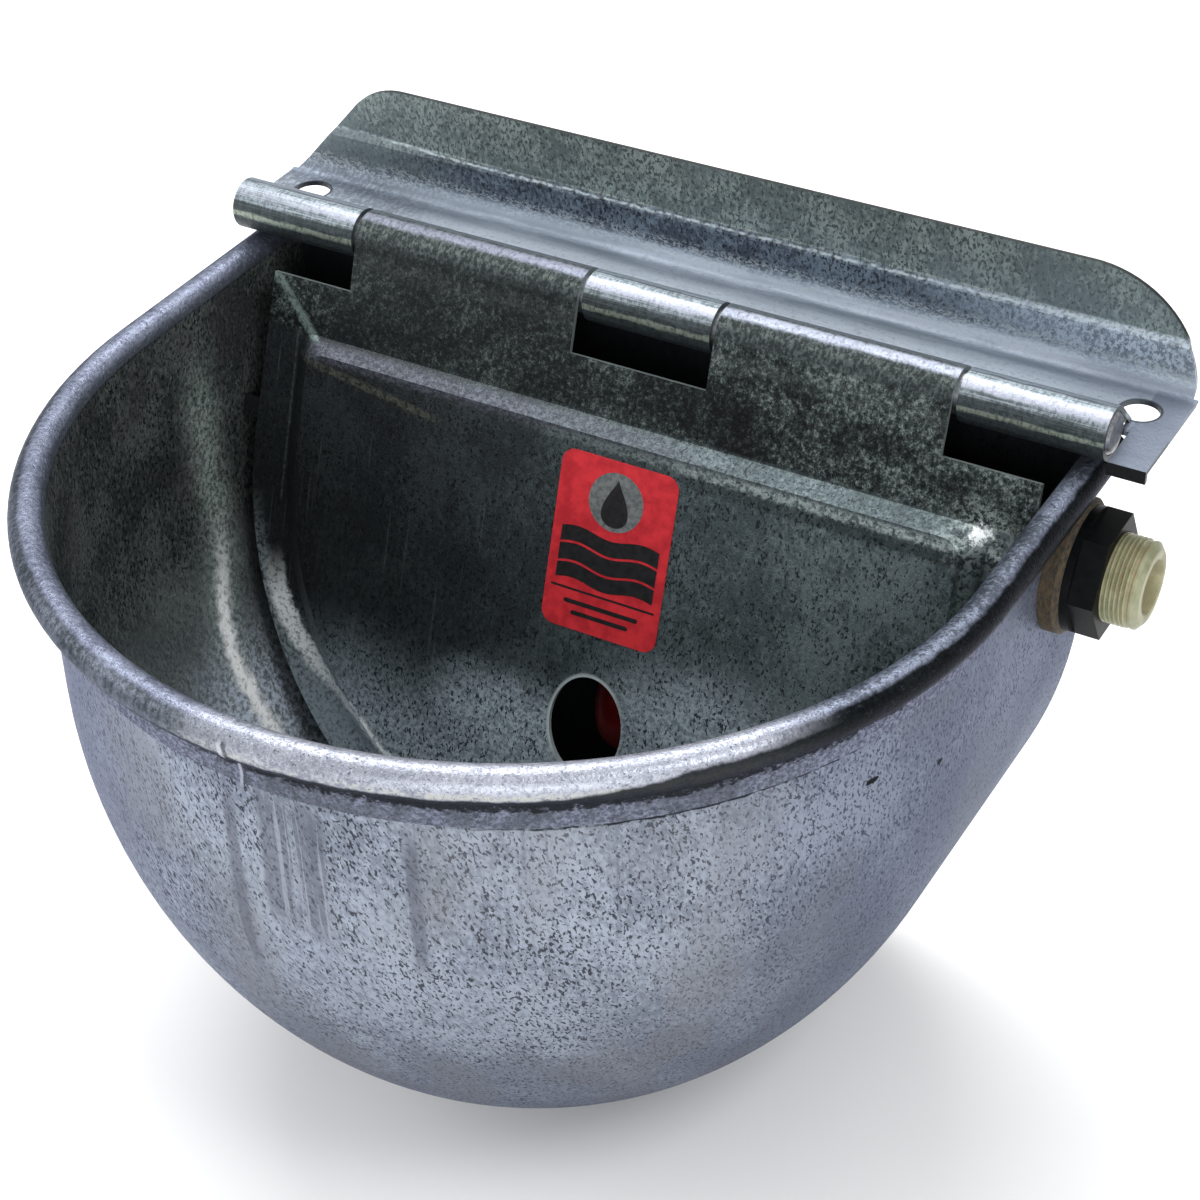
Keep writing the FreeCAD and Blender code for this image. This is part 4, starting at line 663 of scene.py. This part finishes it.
def thread_radius(at, k):
    """The radius of the thread and of the collar after it, at a place on the axis and a step of the turn."""
    phase = ((at - THREAD_START) / PITCH - k / TURN) % 1.0
    tooth = min(1.0, max(0.0, 1.45 - abs(phase - 0.5) * 3.6))
    tooth = tooth * tooth * (3 - 2 * tooth)
    fade = min(1.0, max(0.0, (THREAD_END - at) / 1.2))
    if at > THREAD_END:
        return ROOT + (CREST - 0.25 - ROOT) * min(1.0, (at - THREAD_END) / 0.35)
    return ROOT + (CREST - ROOT) * tooth * fade


gone = [f for f in bm.faces
        if all(v.co.x / MM > THREAD_START - 0.02 and off_axis(v) > LIP - 0.03 for v in f.verts)
        and max(off_axis(v) for v in f.verts) > CREST - 0.05
        and max(v.co.x for v in f.verts) - min(v.co.x for v in f.verts) > 1e-4]
bmesh.ops.delete(bm, geom=gone, context="FACES")
count = int((COLLAR_END - THREAD_START) / THREAD_STEP)
rows = [ring_at(bm, THREAD_START, [CREST] * TURN)]
for i in range(1, count + 1):
    at = THREAD_START + (COLLAR_END - THREAD_START) * i / count
    rows.append(ring_at(bm, at, [thread_radius(at, k) for k in range(TURN)]))
rows.append(ring_at(bm, MOUTH, [LIP] * TURN))
for near, far in zip(rows, rows[1:]):
    for k in range(TURN):
        j = (k + 1) % TURN
        bm.faces.new((near[k], near[j], far[j], far[k]))
inlet = new_piece("threaded_inlet", bm, nylon, 35.0)
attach(inlet, "frame")
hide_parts("valve_body")

# Label: a red film with a drop in a grey disc, three wavy bars and thin lines, on the cover's panel
COVER = (Matrix.Translation(Vector((HINGE[0], HINGE[1] + RIM_Y, HINGE[2] + RIM_Z)) * MM)
         @ Matrix.Rotation(-TILT, 4, "X"))
label_red = plain("label_red", rgb(176, 34, 44), rgb(206, 46, 54), 0.2, 0.42, Specular_IOR_Level=0.4)
label_ink = plain("label_ink", rgb(12, 12, 14), rgb(26, 25, 28), 0.5, 0.45)
label_grey = plain("label_grey", rgb(84, 88, 90), rgb(112, 116, 116), 0.6, 0.45)


def sheet_piece(name, outlines, near, far, material):
    """Thin plates on the cover's panel. Each outline is a list of (x, z) in the cover's own mm."""
    bm = bmesh.new()
    for points in outlines:
        front = [bm.verts.new(COVER @ (Vector((px, FACE - far, pz)) * MM)) for px, pz in points]
        back = [bm.verts.new(COVER @ (Vector((px, FACE - near, pz)) * MM)) for px, pz in points]
        bm.faces.new(front)
        bm.faces.new(back[::-1])
        for i in range(len(points)):
            j = (i + 1) % len(points)
            bm.faces.new((front[i], back[i], back[j], front[j]))
    obj = new_piece(name, bm, material, 40.0)
    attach(obj, "cover")
    return obj


def rounded(cx, cz, half_x, half_z, radius, n=8):
    """A rectangle with round corners."""
    out = []
    for sx, sz, start in ((1, 1, 0), (-1, 1, 90), (-1, -1, 180), (1, -1, 270)):
        for i in range(n + 1):
            a = math.radians(start + 90.0 * i / n)
            out.append((cx + sx * (half_x - radius) + radius * math.cos(a),
                        cz + sz * (half_z - radius) + radius * math.sin(a)))
    return out


def drop(cx, cz, size, n=40):
    """A water drop, round below and pointed above."""
    out = []
    for i in range(n):
        t = 2 * math.pi * i / n
        out.append((cx + size * math.sin(t) * math.sin(t / 2) ** 1.5, cz + size * 1.15 * math.cos(t)))
    return out


def wave(cx, cz, half, tall, swing, n=36):
    """A bar whose two edges run in one wave."""
    top, low = [], []
    for i in range(n + 1):
        t = i / n
        px = cx - half + 2 * half * t
        lift = swing * math.sin(2 * math.pi * 1.5 * t)
        top.append((px, cz + tall / 2 + lift))
        low.append((px, cz - tall / 2 + lift))
    return top + low[::-1]


sheet_piece("label_film", [rounded(LABEL_X, LABEL_Z, 20.2, 28.5, 4.5)], 0.02, 0.16, label_red)
disc = [(LABEL_X + 9.4 * math.cos(2 * math.pi * i / 56), LABEL_Z + 15.5 + 9.4 * math.sin(2 * math.pi * i / 56))
        for i in range(56)]
sheet_piece("label_disc", [disc], 0.16, 0.2, label_grey)
bars = [wave(LABEL_X, LABEL_Z + 1.4, 17.0, 5.0, 0.9), wave(LABEL_X, LABEL_Z - 4.6, 17.0, 5.4, 0.9),
        wave(LABEL_X, LABEL_Z - 10.5, 17.0, 4.8, 0.9),
        rounded(LABEL_X, LABEL_Z - 15.6, 18.2, 0.35, 0.3), rounded(LABEL_X, LABEL_Z - 19.6, 13.0, 0.7, 0.6),
        rounded(LABEL_X, LABEL_Z - 23.0, 10.0, 0.7, 0.6)]
sheet_piece("label_print", [drop(LABEL_X, LABEL_Z + 15.0, 6.6)] + bars, 0.2, 0.24, label_ink)

# Camera
EYE = Vector((349.239, -663.007, 394.305)) * MM
RIGHT = Vector((0.868628, 0.495023, -0.020903))
UP = Vector((-0.278006, 0.521877, 0.806447))
AHEAD = Vector((-0.410119, 0.694692, -0.590936))
LENS = 81.945
camera = bpy.data.objects.new("camera", bpy.data.cameras.new("camera"))
bpy.context.scene.collection.objects.link(camera)
camera.data.lens = LENS
camera.data.sensor_width = 36.0
camera.matrix_world = Matrix((
    (RIGHT.x, UP.x, -AHEAD.x, EYE.x), (RIGHT.y, UP.y, -AHEAD.y, EYE.y), (RIGHT.z, UP.z, -AHEAD.z, EYE.z),
    (0.0, 0.0, 0.0, 1.0)))
bpy.context.scene.camera = camera

# Floor
FLOOR_Z = -242.3
bm = bmesh.new()
bmesh.ops.create_circle(bm, cap_ends=True, segments=64, radius=6.0)
floor = new_piece("floor", bm, Graph("floor_white", Roughness=0.9, Base_Color=(0.9, 0.9, 0.9, 1.0)).mat)
floor.location.z = FLOOR_Z * MM


def softbox(name, at, toward, width, depth, power, colour=(1.0, 1.0, 1.0)):
    """An area light at a place, turned to a point."""
    data = bpy.data.lights.new(name, "AREA")
    data.shape = "RECTANGLE"
    data.size, data.size_y = width, depth
    data.energy = power
    data.color = colour
    obj = bpy.data.objects.new(name, data)
    obj.location = at
    obj.rotation_euler = (Vector(toward) - Vector(at)).to_track_quat("-Z", "Y").to_euler()
    bpy.context.scene.collection.objects.link(obj)


MIDDLE = (0.0, -0.1, -0.1)
softbox("key", (-0.35, 0.35, 1.1), MIDDLE, 1.3, 0.9, 19.0)
softbox("left", (-1.2, -0.7, 0.5), MIDDLE, 0.9, 0.9, 8.0)
softbox("front", (0.7, -1.5, 0.35), MIDDLE, 1.2, 0.9, 9.5, (0.97, 0.98, 1.0))
softbox("right", (1.0, -0.5, 1.25), (-0.12, -0.1, -0.12), 0.5, 0.5, 8.0)
world = bpy.data.worlds.new("studio")
world.use_nodes = True
world.node_tree.nodes["Background"].inputs["Color"].default_value = (1.0, 1.0, 1.0, 1.0)
world.node_tree.nodes["Background"].inputs["Strength"].default_value = 0.7
bpy.context.scene.world = world
bpy.context.scene.view_settings.view_transform = "Standard"
